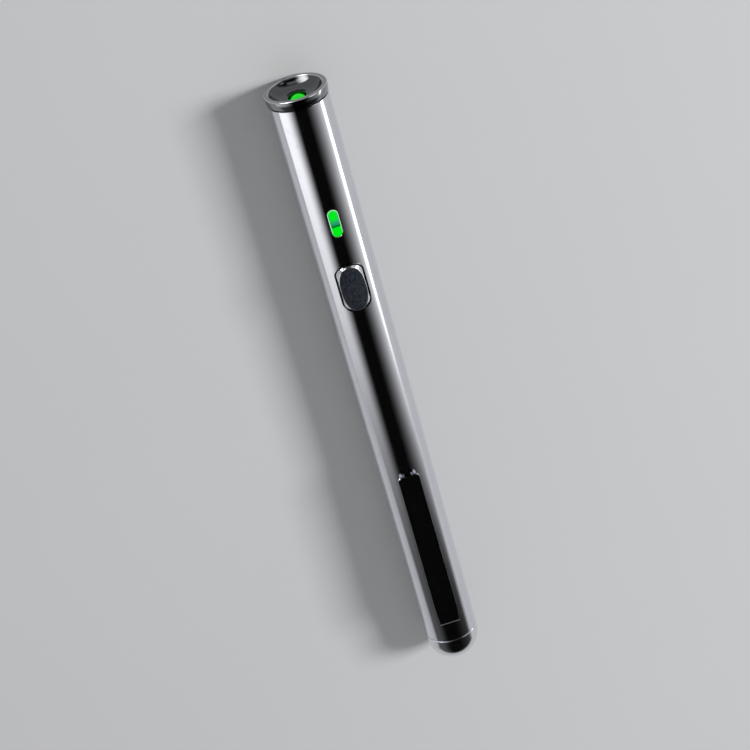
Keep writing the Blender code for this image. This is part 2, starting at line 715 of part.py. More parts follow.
def make_module(finishes):
    """The brass module: expander lens, filter, crystal in its mount, pump diode and its clamping ring."""
    expander = EXPANDER_DIAMETER / 2
    nose = LENS_BORE_RADIUS - FIT_GAP
    crystal_bore = FILTER_DIAMETER / 2 + BOND_GAP
    diode_bore = DIODE_FLANGE_DIAMETER / 2 + BOND_GAP
    chamber = BOARD_CHAMBER_DIAMETER / 2
    housing = [
        (NOSE_START, expander + BOND_GAP),
        (NOSE_START, nose - MODULE_EDGE),
        (NOSE_START + MODULE_EDGE, nose),
        (MODULE_START, nose),
        (MODULE_START, INSERT_RADIUS - MODULE_EDGE),
        (MODULE_START + MODULE_EDGE, INSERT_RADIUS),
        (MODULE_END, INSERT_RADIUS),
        (MODULE_END, chamber),
        (CHAMBER_START, chamber),
        (CHAMBER_START, diode_bore),
        (DIODE_SEAT, diode_bore),
        (DIODE_SEAT, crystal_bore),
        (CRYSTAL_BORE_START, crystal_bore),
        (CRYSTAL_BORE_START, BEAM_STOP_DIAMETER / 2),
        (EXPANDER_SEAT, BEAM_STOP_DIAMETER / 2),
        (EXPANDER_SEAT, expander + BOND_GAP),
    ]
    smooth(turned("module_housing", housing, finishes["brass"]))
    make_expander(finishes)
    make_crystal_stack(finishes)
    make_pump_diode(finishes)
    clamp = [
        (CLAMP_START, CLAMP_BORE_DIAMETER / 2),
        (CLAMP_START, DIODE_FLANGE_DIAMETER / 2),
        (CLAMP_END, DIODE_FLANGE_DIAMETER / 2),
        (CLAMP_END, CLAMP_BORE_DIAMETER / 2),
    ]
    ring = turned("diode_clamp", clamp, finishes["brass"], SMALL_SIDES)
    size = (2 * RETAINER_SLOT_DEPTH, 2 * DIODE_FLANGE_DIAMETER, RETAINER_SLOT_WIDTH)
    cut(ring, block("clamp_slot", size, (CLAMP_END, 0, 0), finishes["brass"]))
    smooth(ring)


def make_expander(finishes):
    """A small lens that is hollow on both faces."""
    radius = EXPANDER_DIAMETER / 2
    end = EXPANDER_START + EXPANDER_THICKNESS
    front = dome(EXPANDER_START, -EXPANDER_HOLLOW, radius, DOME_STEPS)
    back = dome(end, EXPANDER_HOLLOW, radius, DOME_STEPS)
    smooth(turned("expander_lens", front + back[::-1], finishes["clear_glass"], SMALL_SIDES))


def make_crystal_stack(finishes):
    """The filter disc, and the copper slug that holds the crystal in a square hole."""
    radius = FILTER_DIAMETER / 2
    filter_end = FILTER_START + FILTER_THICKNESS
    disc = [(FILTER_START, 0), (FILTER_START, radius), (filter_end, radius), (filter_end, 0)]
    smooth(turned("infrared_filter", disc, finishes["clear_glass"], SMALL_SIDES))
    slug = [(MOUNT_START, 0), (MOUNT_START, radius), (MOUNT_END, radius), (MOUNT_END, 0)]
    mount = turned("crystal_mount", slug, finishes["copper"], SMALL_SIDES)
    hole = CRYSTAL_SIDE + 2 * BOND_GAP
    middle = (MOUNT_START + MOUNT_END) / 2
    size = (CRYSTAL_MOUNT_LENGTH + 2 * CUT_OVERRUN, hole, hole)
    cut(mount, block("crystal_hole", size, (middle, 0, 0), finishes["copper"]))
    smooth(mount)
    size = (CRYSTAL_MOUNT_LENGTH - 2 * CRYSTAL_INSET, CRYSTAL_SIDE, CRYSTAL_SIDE)
    block("crystal_block", size, (middle, 0, 0), finishes["green_glass"], BOND_GAP)


def make_pump_diode(finishes):
    """A metal can diode: window, cap, flange and three leads that straddle the board."""
    cap = DIODE_CAP_DIAMETER / 2
    window = DIODE_WINDOW_DIAMETER / 2
    can = [
        (DIODE_START + DIODE_WINDOW_DEPTH, 0),
        (DIODE_START + DIODE_WINDOW_DEPTH, window),
        (DIODE_START, window),
        (DIODE_START, cap),
        (FLANGE_START, cap),
        (FLANGE_START, DIODE_FLANGE_DIAMETER / 2),
        (FLANGE_END, DIODE_FLANGE_DIAMETER / 2),
        (FLANGE_END, 0),
    ]
    diode = turned("pump_diode", can, finishes["gold"], SMALL_SIDES)
    pin = DIODE_PIN_DIAMETER / 2
    height = BOARD_TOP + BOND_GAP + pin
    length = DIODE_PIN_LENGTH + FUSE_DEPTH
    places = ((DIODE_PIN_SPREAD / 2, height), (-DIODE_PIN_SPREAD / 2, height), (0, -height))
    for number, (across, up) in enumerate(places, 1):
        lead = [
            (FLANGE_END - FUSE_DEPTH, 0),
            (FLANGE_END - FUSE_DEPTH, pin),
            (FLANGE_END - FUSE_DEPTH + length, pin),
            (FLANGE_END - FUSE_DEPTH + length, 0),
        ]
        tool = turned(f"diode_lead_{number}", lead, finishes["gold"], PIN_SIDES, up)
        tool.location.y = across
        fuse(diode, tool)
    return smooth(diode)


def make_board(finishes):
    """The driver board, whose narrow tongue reaches into the module, and the plastic tray under it."""
    half = BOARD_WIDTH / 2
    tongue = BOARD_TONGUE_WIDTH / 2
    outline = [
        (along(BOARD_START), -tongue),
        (along(BOARD_START), tongue),
        (along(TRAY_START), tongue),
        (along(TRAY_START), half),
        (along(BOARD_END), half),
        (along(BOARD_END), -half),
        (along(TRAY_START), -half),
        (along(TRAY_START), -tongue),
    ]
    prism("driver_board", outline, BOARD_THICKNESS, finishes["board"], (0, 0, AXIS_HEIGHT))
    make_tray(finishes)


def make_tray(finishes):
    """A half tube that carries the board on its two top edges, stiffened by ribs along its floor."""
    inner = INSERT_RADIUS - TRAY_WALL
    rail = -BOARD_TOP - BOND_GAP
    outer_start = math.asin(rail / INSERT_RADIUS)
    inner_start = math.asin(rail / inner)
    outline = arc((0, 0), INSERT_RADIUS, -math.pi - outer_start, outer_start, TRAY_ARC_STEPS)
    outline += arc((0, 0), inner, inner_start, -math.pi - inner_start, TRAY_ARC_STEPS)
    length = BOARD_END - TRAY_START
    middle = (BOARD_END + TRAY_START) / 2
    place = (along(middle), 0, AXIS_HEIGHT)
    facing = (math.pi / 2, 0, math.pi / 2)
    tray = prism("board_tray", outline, length, finishes["black_plastic"], place, facing)
    bottom = inner - TRAY_RIB_RISE
    rib_start = math.asin(-bottom / (inner + FUSE_DEPTH))
    rib = arc((0, 0), inner + FUSE_DEPTH, -math.pi - rib_start, rib_start, PIN_SIDES)
    for number in (1, 2, 3):
        spot = (along(TRAY_START + length * number / 4), 0, AXIS_HEIGHT)
        fuse(tray, prism(f"tray_rib_{number}", rib, TRAY_RIB_LENGTH, finishes["black_plastic"], spot, facing))
    return tray


def make_board_parts(finishes):
    """What is soldered to the board: chip, coil and capacitor below, resistors beside the switch."""
    below = -PART_FOOT
    chip_place = BUTTON_PLACE
    chip_height = below - CHIP_HEIGHT / 2
    chip = block(
        "driver_chip", (CHIP_LENGTH, CHIP_WIDTH, CHIP_HEIGHT), (chip_place, 0, chip_height),
        finishes["ceramic"], CHIP_EDGE,
    )
    leg_width = CHIP_WIDTH + 2 * CHIP_LEG_REACH
    leg_height = below - CHIP_LEG_THICKNESS / 2
    for number in range(CHIP_LEGS):
        offset = (number - (CHIP_LEGS - 1) / 2) * CHIP_LEG_PITCH
        size = (CHIP_LEG_WIDTH, leg_width, 2 * CHIP_LEG_THICKNESS)
        spot = (chip_place + offset, 0, leg_height - CHIP_LEG_THICKNESS)
        fuse(chip, block(f"chip_legs_{number + 1}", size, spot, finishes["ceramic"]))
    coil_place = chip_place - CHIP_LENGTH / 2 - PART_SPACING - COIL_DIAMETER / 2
    radius = COIL_DIAMETER / 2
    drum = [
        (below, 0),
        (below, radius),
        (below - COIL_DISC, radius),
        (below - COIL_DISC, radius - COIL_WAIST),
        (below - COIL_HEIGHT + COIL_DISC, radius - COIL_WAIST),
        (below - COIL_HEIGHT + COIL_DISC, radius),
        (below - COIL_HEIGHT, radius),
        (below - COIL_HEIGHT, 0),
    ]
    smooth(turned_upright("boost_coil", drum, coil_place, finishes["ceramic"]))
    make_capacitor(coil_place - radius - PART_SPACING - CAPACITOR_LENGTH, finishes)
    for name, side in (("resistor_front", -1), ("resistor_rear", 1)):
        reach = SWITCH_SIDE / 2 + PART_SPACING / 2 + RESISTOR_WIDTH / 2
        spot = (BUTTON_PLACE + side * reach, 0, PART_FOOT + RESISTOR_HEIGHT / 2)
        size = (RESISTOR_WIDTH, RESISTOR_LENGTH, RESISTOR_HEIGHT)
        block(name, size, spot, finishes["ceramic"], RESISTOR_EDGE)


def make_capacitor(start, finishes):
    """A small can that lies along the underside of the board."""
    radius = CAPACITOR_DIAMETER / 2
    end = start + CAPACITOR_LENGTH
    neck = end - CAPACITOR_EDGE - 2 * CAPACITOR_GROOVE
    can = [
        (start, 0),
        (start, radius - CAPACITOR_EDGE),
        (start + CAPACITOR_EDGE, radius),
        (neck - CAPACITOR_GROOVE, radius),
        (neck, radius - CAPACITOR_GROOVE),
        (neck + CAPACITOR_GROOVE, radius),
        (end - CAPACITOR_EDGE, radius),
        (end, radius - CAPACITOR_EDGE),
        (end, 0),
    ]
    height = -PART_FOOT - radius
    smooth(turned("capacitor", can, finishes["aluminium"], SMALL_SIDES, height))


def make_lamps(finishes):
    """Two small round-topped lamps on the board, under the indicator window."""
    radius = LAMP_DIAMETER / 2
    top = window_flange_bottom() - FIT_GAP
    foot = radius + LAMP_FOOT_REACH
    body = [(top - radius + radius * math.sin(a), radius * math.cos(a)) for a in quarter_turn(DOME_STEPS)]
    body.append((PART_FOOT + LAMP_FOOT_THICKNESS, radius))
    body.append((PART_FOOT + LAMP_FOOT_THICKNESS, foot))
    body.append((PART_FOOT, foot))
    body.append((PART_FOOT, 0))
    for name, side in (("lamp_front", -1), ("lamp_rear", 1)):
        place = WINDOW_PLACE + side * LAMP_SPACING / 2
        smooth(turned_upright(name, body, place, finishes["green_glass"]))


def quarter_turn(steps):
    """Angles from straight up down to level."""
    angles = [math.pi / 2 * (1 - i / steps) for i in range(steps + 1)]
    return angles


def window_flange_bottom():
    half_width = WINDOW_SLOT_WIDTH / 2 + WINDOW_FLANGE_REACH
    top = math.sqrt(BORE_RADIUS**2 - half_width**2) - FIT_GAP
    return top - WINDOW_FLANGE_THICKNESS


def make_window(finishes):
    """The green light window: a stadium that fills its slot, on a flange that bears on the bore."""
    neck = stadium(WINDOW_SLOT_LENGTH / 2 - WINDOW_GAP, WINDOW_SLOT_WIDTH / 2 - WINDOW_GAP)
    half_length = WINDOW_SLOT_LENGTH / 2 + WINDOW_FLANGE_REACH
    flange = stadium(half_length, WINDOW_SLOT_WIDTH / 2 + WINDOW_FLANGE_REACH)
    bottom = window_flange_bottom()
    top = bottom + WINDOW_FLANGE_THICKNESS
    face = BARREL_RADIUS - WINDOW_RECESS
    rings = [
        flat(flange, bottom),
        flat(flange, top),
        flat(neck, top),
        wrapped(neck, face),
        [(0, 0, face)],
    ]
    place = (along(WINDOW_PLACE), 0, AXIS_HEIGHT)
    return smooth(loft("indicator_window", rings, finishes["green_glass"], place))


def make_button(finishes):
    """The metal key with sloped corners round its inlaid pad, and a plate with lips that keep it in."""
    outline = button_outline()
    crown = BARREL_RADIUS + BUTTON_PROUD
    floor = crown - PAD_THICKNESS
    half = (PAD_LENGTH / 2, PAD_WIDTH / 2)
    recess = superellipse(outline, half[0] + BOND_GAP, half[1] + BOND_GAP, PAD_POWER_SHARE)
    rings = [
        flat(outline, LIP_TOP - FUSE_DEPTH),
        wrapped(outline, BARREL_RADIUS + BUTTON_EDGE_PROUD),
        wrapped(recess, crown),
        wrapped(recess, floor),
        *[wrapped(scaled(recess, share), floor) for share in PAD_RING_SHARES[1:]],
        [(0, 0, floor)],
    ]
    place = (along(BUTTON_PLACE), 0, AXIS_HEIGHT)
    key = loft("button_cap", rings, finishes["polished"], place)
    length = BUTTON_LENGTH + 2 * BUTTON_LIP_REACH
    size = (length, BUTTON_LIP_WIDTH, BUTTON_LIP_THICKNESS)
    middle = (BUTTON_PLACE, 0, LIP_TOP - BUTTON_LIP_THICKNESS / 2)
    fuse(key, block("button_lips", size, middle, finishes["polished"]))
    smooth(key)
    pad = superellipse(outline, half[0], half[1], PAD_POWER_SHARE)
    top = crown + PAD_PROUD
    rings = [
        [(0, 0, floor + BOND_GAP)],
        *[wrapped(scaled(pad, share), floor + BOND_GAP) for share in reversed(PAD_RING_SHARES)],
        wrapped(pad, floor + BOND_GAP),
        wrapped(pad, top - PAD_EDGE),
        *[wrapped(scaled(pad, share), top - PAD_DISH * (1 - share**2)) for share in PAD_RING_SHARES],
        [(0, 0, top - PAD_DISH)],
    ]
    smooth(loft("button_pad", rings, finishes["pad"], place))
    return [bpy.data.objects["button_cap"], bpy.data.objects["button_pad"]]


def make_switch(finishes):
    """The square switch on the board, with its round plunger in a bore."""
    height = SWITCH_TOP - PART_FOOT
    center = (BUTTON_PLACE, 0, PART_FOOT + height / 2)
    size = (SWITCH_SIDE, SWITCH_SIDE, height)
    body = block("switch_body", size, center, finishes["black_plastic"], SWITCH_EDGE)
    radius = PLUNGER_DIAMETER / 2
    foot = PLUNGER_TOP - PLUNGER_LENGTH
    bore_floor = foot - BUTTON_TRAVEL - FIT_GAP
    bore = radius + FIT_GAP
    above = SWITCH_TOP + CUT_OVERRUN
    hole = [(above, 0), (above, bore), (bore_floor, bore), (bore_floor, 0)]
    cut(body, turned_upright("plunger_bore", hole, BUTTON_PLACE, finishes["black_plastic"]))
    rod = [
        (PLUNGER_TOP, 0),
        (PLUNGER_TOP, radius - PLUNGER_EDGE),
        (PLUNGER_TOP - PLUNGER_EDGE, radius),
        (foot, radius),
        (foot, 0),
    ]
    return smooth(turned_upright("switch_plunger", rod, BUTTON_PLACE, finishes["white_plastic"]))


def make_cells(finishes):
    """Two cells in line, their positive ends to the front."""
    radius = CELL_DIAMETER / 2
    nub = CELL_NUB_DIAMETER / 2
    for name, start in (("front_cell", CELLS_START), ("rear_cell", REAR_CELL_START)):
        shoulder = start + CELL_NUB_LENGTH
        end = start + CELL_LENGTH
        can = [
            (start, 0),
            (start, nub),
            (shoulder, nub),
            (shoulder, radius - CELL_EDGE),
            (shoulder + CELL_EDGE, radius),
            (end - CELL_EDGE, radius),
            (end, radius - CELL_EDGE),
            (end, 0),
        ]
        smooth(turned(name, can, finishes["cell"]))


def make_contacts(finishes):
    """The insulating bulkhead behind the board, with the spring that meets the front cell."""
    hole = BULKHEAD_HOLE_DIAMETER / 2
    disc = [
        (BULKHEAD_START, hole),
        (BULKHEAD_START, INSERT_RADIUS),
        (BULKHEAD_END, INSERT_RADIUS),
        (BULKHEAD_END, hole),
    ]
    smooth(turned("contact_bulkhead", disc, finishes["white_plastic"]))
    spring(
        "front_spring",
        FRONT_SPRING_START,
        FRONT_SPRING_START + FRONT_SPRING_LENGTH,
        FRONT_SPRING_BASE_DIAMETER,
        FRONT_SPRING_TIP_DIAMETER,
        FRONT_SPRING_WIRE,
        FRONT_SPRING_TURNS,
        finishes["gold"],
    )


def make_tail(finishes):
    """The round-ended screw cap with its seal, contact plate and spring."""
    seal_place = CAP_SEAM - CAP_SEAL_PLACE
    dome_points = [
        (DOME_START + BARREL_RADIUS * math.sin(a), BARREL_RADIUS * math.cos(a))
        for a in reversed(quarter_turn(CAP_DOME_STEPS))
    ]
    dome_points[-1] = (TOTAL_LENGTH, 0)
    profile = [
        (CAP_FLOOR, 0),
        (CAP_FLOOR, CAP_BORE_RADIUS),
        (CAP_START, CAP_BORE_RADIUS),
        (CAP_START, INSERT_RADIUS),
        *seal_groove(seal_place),
        (CAP_SEAM, INSERT_RADIUS),
        (CAP_SEAM, BARREL_RADIUS - CAP_EDGE),
        (CAP_SEAM + CAP_EDGE, BARREL_RADIUS),
        *dome_points,
    ]
    cap = smooth(turned("tail_cap", profile, finishes["polished"]))
    seal = seal_ring("tail_seal", seal_place, finishes["rubber"])
    radius = CAP_BORE_RADIUS - BOND_GAP
    end = TAIL_CONTACT_START + TAIL_CONTACT_THICKNESS
    disc = [(TAIL_CONTACT_START, 0), (TAIL_CONTACT_START, radius), (end, radius), (end, 0)]
    plate = smooth(turned("tail_contact", disc, finishes["brass"], SMALL_SIDES))
    coil = spring(
        "tail_spring",
        CELLS_END + FIT_GAP,
        TAIL_CONTACT_START - BOND_GAP,
        TAIL_SPRING_TIP_DIAMETER,
        TAIL_SPRING_BASE_DIAMETER,
        TAIL_SPRING_WIRE,
        TAIL_SPRING_TURNS,
        finishes["gold"],
    )
    return cap, [seal, plate, coil]


def clip_path():
    """The middle line of the clip's strip, as (forward of the leg, height over the axis) points with the
    direction in which the strip runs there. It climbs out of the barrel, bends forward, slopes down to
    a land close over the barrel, and turns up again at the toe."""
    half = CLIP_THICKNESS / 2
    high = BARREL_RADIUS + CLIP_RISE + half
    low = BARREL_RADIUS + FIT_GAP + half
    path = [((0, BARREL_RADIUS - CLIP_LEG_DEPTH), math.pi / 2), ((0, BARREL_RADIUS), math.pi / 2)]
    for i in range(CLIP_BEND_STEPS + 1):
        turn = math.pi / 2 * i / CLIP_BEND_STEPS
        forward = CLIP_BEND * (1 - math.cos(turn))
        up = high - CLIP_BEND + CLIP_BEND * math.sin(turn)
        path.append(((forward, up), math.pi / 2 - turn))
    arm = CLIP_LENGTH - CLIP_BEND - CLIP_LAND - CLIP_TOE
    drop = high - low
    for i in range(1, CLIP_ARM_STEPS + 1):
        share = i / CLIP_ARM_STEPS
        ease = share * share * (3 - 2 * share)
        slope = -drop / arm * 6 * share * (1 - share)
        path.append(((CLIP_BEND + arm * share, high - drop * ease), math.atan(slope)))
    land_end = CLIP_BEND + arm + CLIP_LAND
    path.append(((land_end, low), 0))
    for share in toe_shares():
        slope = 2 * CLIP_TIP_LIFT / CLIP_TOE * share
        path.append(((land_end + CLIP_TOE * share, low + CLIP_TIP_LIFT * share**2), math.atan(slope)))
    return path


def toe_shares():
    """Places along the toe, closer together towards its round end."""
    corner = 1 - CLIP_TIP_CORNER / CLIP_TOE
    shares = [corner * i / CLIP_TOE_STEPS for i in range(1, CLIP_TOE_STEPS + 1)]
    for i in range(1, CLIP_CORNER_STEPS + 1):
        shares.append(corner + (1 - corner) * math.sin(math.pi / 2 * i / CLIP_CORNER_STEPS))
    return shares


def clip_half_width(forward, height):
    """Half the strip's width: a narrow leg, widest near the root, and a toe with round corners."""
    if height <= BARREL_RADIUS:
        return CLIP_LEG_WIDTH / 2
    if forward < CLIP_WIDEST_FROM_ROOT:
        share = forward / CLIP_WIDEST_FROM_ROOT
        width = CLIP_ROOT_WIDTH + (CLIP_WIDEST - CLIP_ROOT_WIDTH) * math.sin(math.pi / 2 * share)
    else:
        share = (forward - CLIP_WIDEST_FROM_ROOT) / (CLIP_LENGTH - CLIP_WIDEST_FROM_ROOT)
        width = CLIP_WIDEST + (CLIP_TIP_WIDTH - CLIP_WIDEST) * share
    into_corner = forward - (CLIP_LENGTH - CLIP_TIP_CORNER)
    if into_corner <= 0:
        return width / 2
    rounding = CLIP_TIP_CORNER - math.sqrt(max(CLIP_TIP_CORNER**2 - into_corner**2, 0))
    return width / 2 - rounding


def clip_section(point, direction, half_width):
    """The strip's cross-section at a point of its path, a flat bar with chamfered edges."""
    half = CLIP_THICKNESS / 2
    edge = CLIP_EDGE
    corners = (
        (half_width - edge, half), (-half_width + edge, half), (-half_width, half - edge),
        (-half_width, -half + edge), (-half_width + edge, -half), (half_width - edge, -half),
        (half_width, -half + edge), (half_width, half - edge),
    )
    lean = (-math.sin(direction), math.cos(direction))
    return [
        (point[0] + lean[0] * up, across, point[1] + lean[1] * up - CLIP_PIVOT_HEIGHT)
        for across, up in corners
    ]


def make_clip(finishes):
    """The spring clip: one strip whose leg stands in the barrel's slot. Its origin is where it flexes."""
    path = clip_path()
    shoulder = ((0, BARREL_RADIUS + FIT_GAP), math.pi / 2)
    path.insert(2, shoulder)
    rings = []
    for point, direction in path:
        half_width = clip_half_width(*point)
        rings.append(clip_section(point, direction, half_width))
    leg_top = clip_section(shoulder[0], shoulder[1], CLIP_LEG_WIDTH / 2)
    rings.insert(2, leg_top)
    place = (along(CLIP_ROOT), 0, AXIS_HEIGHT + CLIP_PIVOT_HEIGHT)
    return smooth(loft("pocket_clip", rings, finishes["spring_steel"], place))


def joint_empty(name, place):
    empty = bpy.data.objects.new(name, None)
    PART.objects.link(empty)
    empty.location = place
    return empty


def hang(empty, pieces):
    """Parent pieces to the empty on their joint's axis, and leave them where they are."""
    bpy.context.view_layer.update()
    for piece in pieces:
        piece.parent = empty
        piece.matrix_parent_inverse = empty.matrix_world.inverted()


def main():
    finishes = make_finishes()
    make_barrel(finishes)
    make_bezel(finishes)
    make_front_lens(finishes)
    make_module(finishes)
    make_board(finishes)
    make_board_parts(finishes)
    make_lamps(finishes)
    make_window(finishes)
    key = make_button(finishes)
    plunger = make_switch(finishes)
    make_cells(finishes)
    make_contacts(finishes)
    cap, riders = make_tail(finishes)
    clip = make_clip(finishes)
    button_place = (along(BUTTON_PLACE), 0, AXIS_HEIGHT + BUTTON_UNDERSIDE)
    hang(joint_empty("button_axis", button_place), key)
    hang(joint_empty("plunger_axis", (along(BUTTON_PLACE), 0, AXIS_HEIGHT + PLUNGER_TOP)), [plunger])
    travel = joint_empty("cap_travel_axis", (along(CAP_SEAM), 0, AXIS_HEIGHT))
    hang(travel, riders)
    turn = joint_empty("cap_turn_axis", (along(CAP_SEAM), 0, AXIS_HEIGHT))
    hang(travel, [turn])
    hang(turn, [cap])
    hang(joint_empty("clip_axis", clip.location.copy()), [clip])
    bpy.context.view_layer.update()


clear_scene()
PART = new_collection("laser_pointer")
TOOLS = new_collection("laser_pointer_tools")
main()
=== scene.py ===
"""Looks of a slim metal laser pointer, laid out as an add-on and run as a script.

Each operator builds one outer piece finer than the frame's solid, or finishes a group of pieces
inside, and the last one sets the floor, the light and the camera. Lengths are in metres. A place
called behind is a distance behind the front rim. Heights and radii are measured from the axis."""

import math

import bmesh
import bpy
from bpy.props import FloatProperty, FloatVectorProperty, PointerProperty
from mathutils import Matrix, Vector


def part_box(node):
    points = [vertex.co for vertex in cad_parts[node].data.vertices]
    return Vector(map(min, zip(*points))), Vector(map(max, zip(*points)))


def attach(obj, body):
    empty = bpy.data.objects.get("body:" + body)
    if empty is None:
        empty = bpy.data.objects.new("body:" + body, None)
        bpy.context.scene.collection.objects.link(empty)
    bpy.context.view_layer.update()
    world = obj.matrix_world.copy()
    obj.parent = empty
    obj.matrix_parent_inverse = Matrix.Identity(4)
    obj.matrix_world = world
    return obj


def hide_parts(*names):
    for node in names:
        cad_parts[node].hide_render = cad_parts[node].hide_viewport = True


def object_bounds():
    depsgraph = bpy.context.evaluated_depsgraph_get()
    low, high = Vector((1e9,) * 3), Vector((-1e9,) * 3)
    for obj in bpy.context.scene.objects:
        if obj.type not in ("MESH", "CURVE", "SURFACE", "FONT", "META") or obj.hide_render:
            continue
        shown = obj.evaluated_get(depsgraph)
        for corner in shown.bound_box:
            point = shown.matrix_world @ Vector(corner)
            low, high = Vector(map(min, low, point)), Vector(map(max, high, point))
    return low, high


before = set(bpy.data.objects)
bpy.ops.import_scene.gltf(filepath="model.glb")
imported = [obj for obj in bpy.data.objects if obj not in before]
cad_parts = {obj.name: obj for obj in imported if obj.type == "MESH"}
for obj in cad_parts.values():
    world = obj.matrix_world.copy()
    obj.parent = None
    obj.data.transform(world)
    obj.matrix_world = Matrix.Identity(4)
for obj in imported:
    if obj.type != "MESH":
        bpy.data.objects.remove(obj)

bl_info = {
    "name": "Laser Pointer Looks",
    "version": (1, 0, 0),
    "blender": (4, 5, 0),
    "location": "3D View > Sidebar > Pointer",
    "description": "Builds the outer pieces, finishes and studio of a slim metal laser pointer",
    "category": "Object",
}

MM = 0.001
CAD_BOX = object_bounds()
FRONT = CAD_BOX[1].x
AXIS = sum(corner.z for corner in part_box("front_bezel")) / 2
SHELL_SIDES = 192
LENS_SIDES = 96
SHARP_ANGLE = math.radians(35)
QUARTER = math.pi / 2
# A round-ended outline keeps this much of its straight ends.
SLIVER = 0.01 * MM


def size(name, millimetres, description):
    """A length that a user may change."""
    return FloatProperty(
        name=name, description=description, default=millimetres * MM, unit="LENGTH", precision=5
    )


def tint(name, color, description):
    """A colour that a user may change."""
    return FloatVectorProperty(
        name=name, description=description, default=color, subtype="COLOR", size=3, min=0, max=1
    )


def share(name, value, description):
    """A plain factor that a user may change."""
    return FloatProperty(name=name, description=description, default=value, min=0)


class BarrelSizes(bpy.types.PropertyGroup):
    """Sizes of the long tube."""

    radius: size("Radius", 6.8, "Outer radius of the tube")
    bore: size("Bore", 5.6, "Radius of the bore that takes the cells")
    start: size("Start", 2.35, "Where the tube starts, behind the front rim")
    end: size("End", 154.5, "Where the tube ends, behind the front rim")
    edge: size("Edge", 0.06, "Chamfer at both ends and round the openings")


class BezelSizes(bpy.types.PropertyGroup):
    """Sizes of the dished front ring."""

    rim: size("Rim radius", 7.0, "Outer radius at the front, where it is widest")
    back: size("Back radius", 6.86, "Outer radius where it meets the tube")
    length: size("Length", 2.05, "Length of the part that shows")
    mouth: size("Dish mouth", 5.9, "Radius of the dish at the rim")
    depth: size("Dish depth", 2.0, "Depth of the dish")
    bowl: share("Dish bowl", 3.2, "1 for a straight cone, and more for one steep at its mouth")
    hole: size("Beam hole", 2.05, "Radius of the hole at the bottom of the dish")


class LensSizes(bpy.types.PropertyGroup):
    """Sizes of the domed front lens."""

    seat: size("Seat", 3.0, "Where the lens bears, behind the front rim")
    radius: size("Radius", 3.3, "Radius of the lens body")
    thickness: size("Thickness", 1.3, "Thickness of the lens body")
    dome: size("Dome radius", 1.9, "Radius of the dome's base")
    height: size("Dome height", 1.3, "Height of the dome")


class WindowSizes(bpy.types.PropertyGroup):
    """Sizes of the indicator window and its slot."""

    place: size("Place", 30.15, "Middle of the window, behind the front rim")
    length: size("Slot length", 6.8, "Length of the slot in the tube")
    width: size("Slot width", 2.4, "Width of the slot in the tube")
    gap: size("Gap", 0.06, "Clearance round the window")
    edge: size("Edge", 0.02, "Chamfer round the slot")
    recess: size("Recess", 0.04, "How far the window lies below the tube's surface")


class ButtonSizes(bpy.types.PropertyGroup):
    """Sizes of the button and its inlaid pad."""

    place: size("Place", 46.95, "Middle of the button, behind the front rim")
    length: size("Length", 11.2, "Length of the key")
    width: size("Width", 6.1, "Width of the key")
    corner: size("Corner", 2.1, "Corner radius of the key")
    gap: size("Gap", 0.3, "Clearance round the key")
    proud: size("Proud", 0.55, "How far the key stands over the tube")
    pad_length: size("Pad length", 10.8, "Length of the inlaid pad")
    pad_width: size("Pad width", 5.6, "Width of the inlaid pad")
    dish: size("Dish", 0.18, "How far the middle of the pad is dished")


class ClipSizes(bpy.types.PropertyGroup):
    """Sizes of the spring clip."""

    root: size("Root", 147.7, "Where the clip enters the tube, behind the front rim")
    length: size("Length", 47.4, "Length from the root to the tip")
    thickness: size("Thickness", 0.6, "Thickness of the strip")
    root_width: size("Root width", 5.0, "Width of the strip at its root")
    widest: size("Widest", 5.6, "Greatest width of the strip")
    widest_from: size("Widest from root", 6.0, "Where the strip is widest, in front of its root")
    tip_width: size("Tip width", 5.25, "Width at the tip, before its corners")
    corner: size("Corner", 0.55, "Radius of the two corners at the tip")
    rise: size("Rise", 0.75, "Clear height under the clip at its root")
    bend: size("Bend", 0.7, "Radius of the bend at the root")
    land: size("Land", 2.5, "Length of the flat that holds cloth against the tube")
    toe: size("Toe", 3.6, "Length of the turned-up toe")
    lift: size("Toe lift", 0.12, "How far the toe turns up")
    edge: size("Edge", 0.05, "Radius of the strip's long edges")
    slot_edge: size("Slot edge", 0.03, "Chamfer round the slot that the root goes through")


class TailSizes(bpy.types.PropertyGroup):
    """Sizes of the tail cap."""

    seam: size("Seam", 154.8, "Where the cap meets the tube, behind the front rim")
    dome: size("Dome start", 156.95, "Where the round end starts")
    spigot: size("Spigot radius", 5.3, "Radius of the part that goes into the tube")
    bore: size("Bore", 4.1, "Radius of the hollow that takes the spring")
    pitch: size("Thread pitch", 1.25, "Distance between turns of the thread")
    thread: size("Thread depth", 0.26, "Depth of the thread")


class Tones(bpy.types.PropertyGroup):
    """Colours of the finishes."""

    chrome: tint("Chrome", (0.80, 0.81, 0.86), "Polished plate of the tube, the key and the cap")
    bezel: tint("Bezel", (0.32, 0.325, 0.34), "Darker polished plate of the front ring")
    clip: tint("Clip", (0.60, 0.61, 0.64), "Polished spring steel")
    slate: tint("Pad", (0.008, 0.011, 0.017), "Dark grey of the button's pad")
    glow: tint("Glow", (0.0, 0.85, 0.0), "Green light of the window and the lens")
    brass: tint("Brass", (0.72, 0.53, 0.22), "Turned brass inside")
    copper: tint("Copper", (0.75, 0.38, 0.22), "Copper of the crystal mount")
    gold: tint("Gold", (0.85, 0.66, 0.30), "Gold plate of the diode and the springs")
    mask: tint("Board mask", (0.02, 0.17, 0.06), "Green mask of the circuit board")
    sleeve: tint("Cell sleeve", (0.10, 0.13, 0.17), "Dark sleeve of the cells")


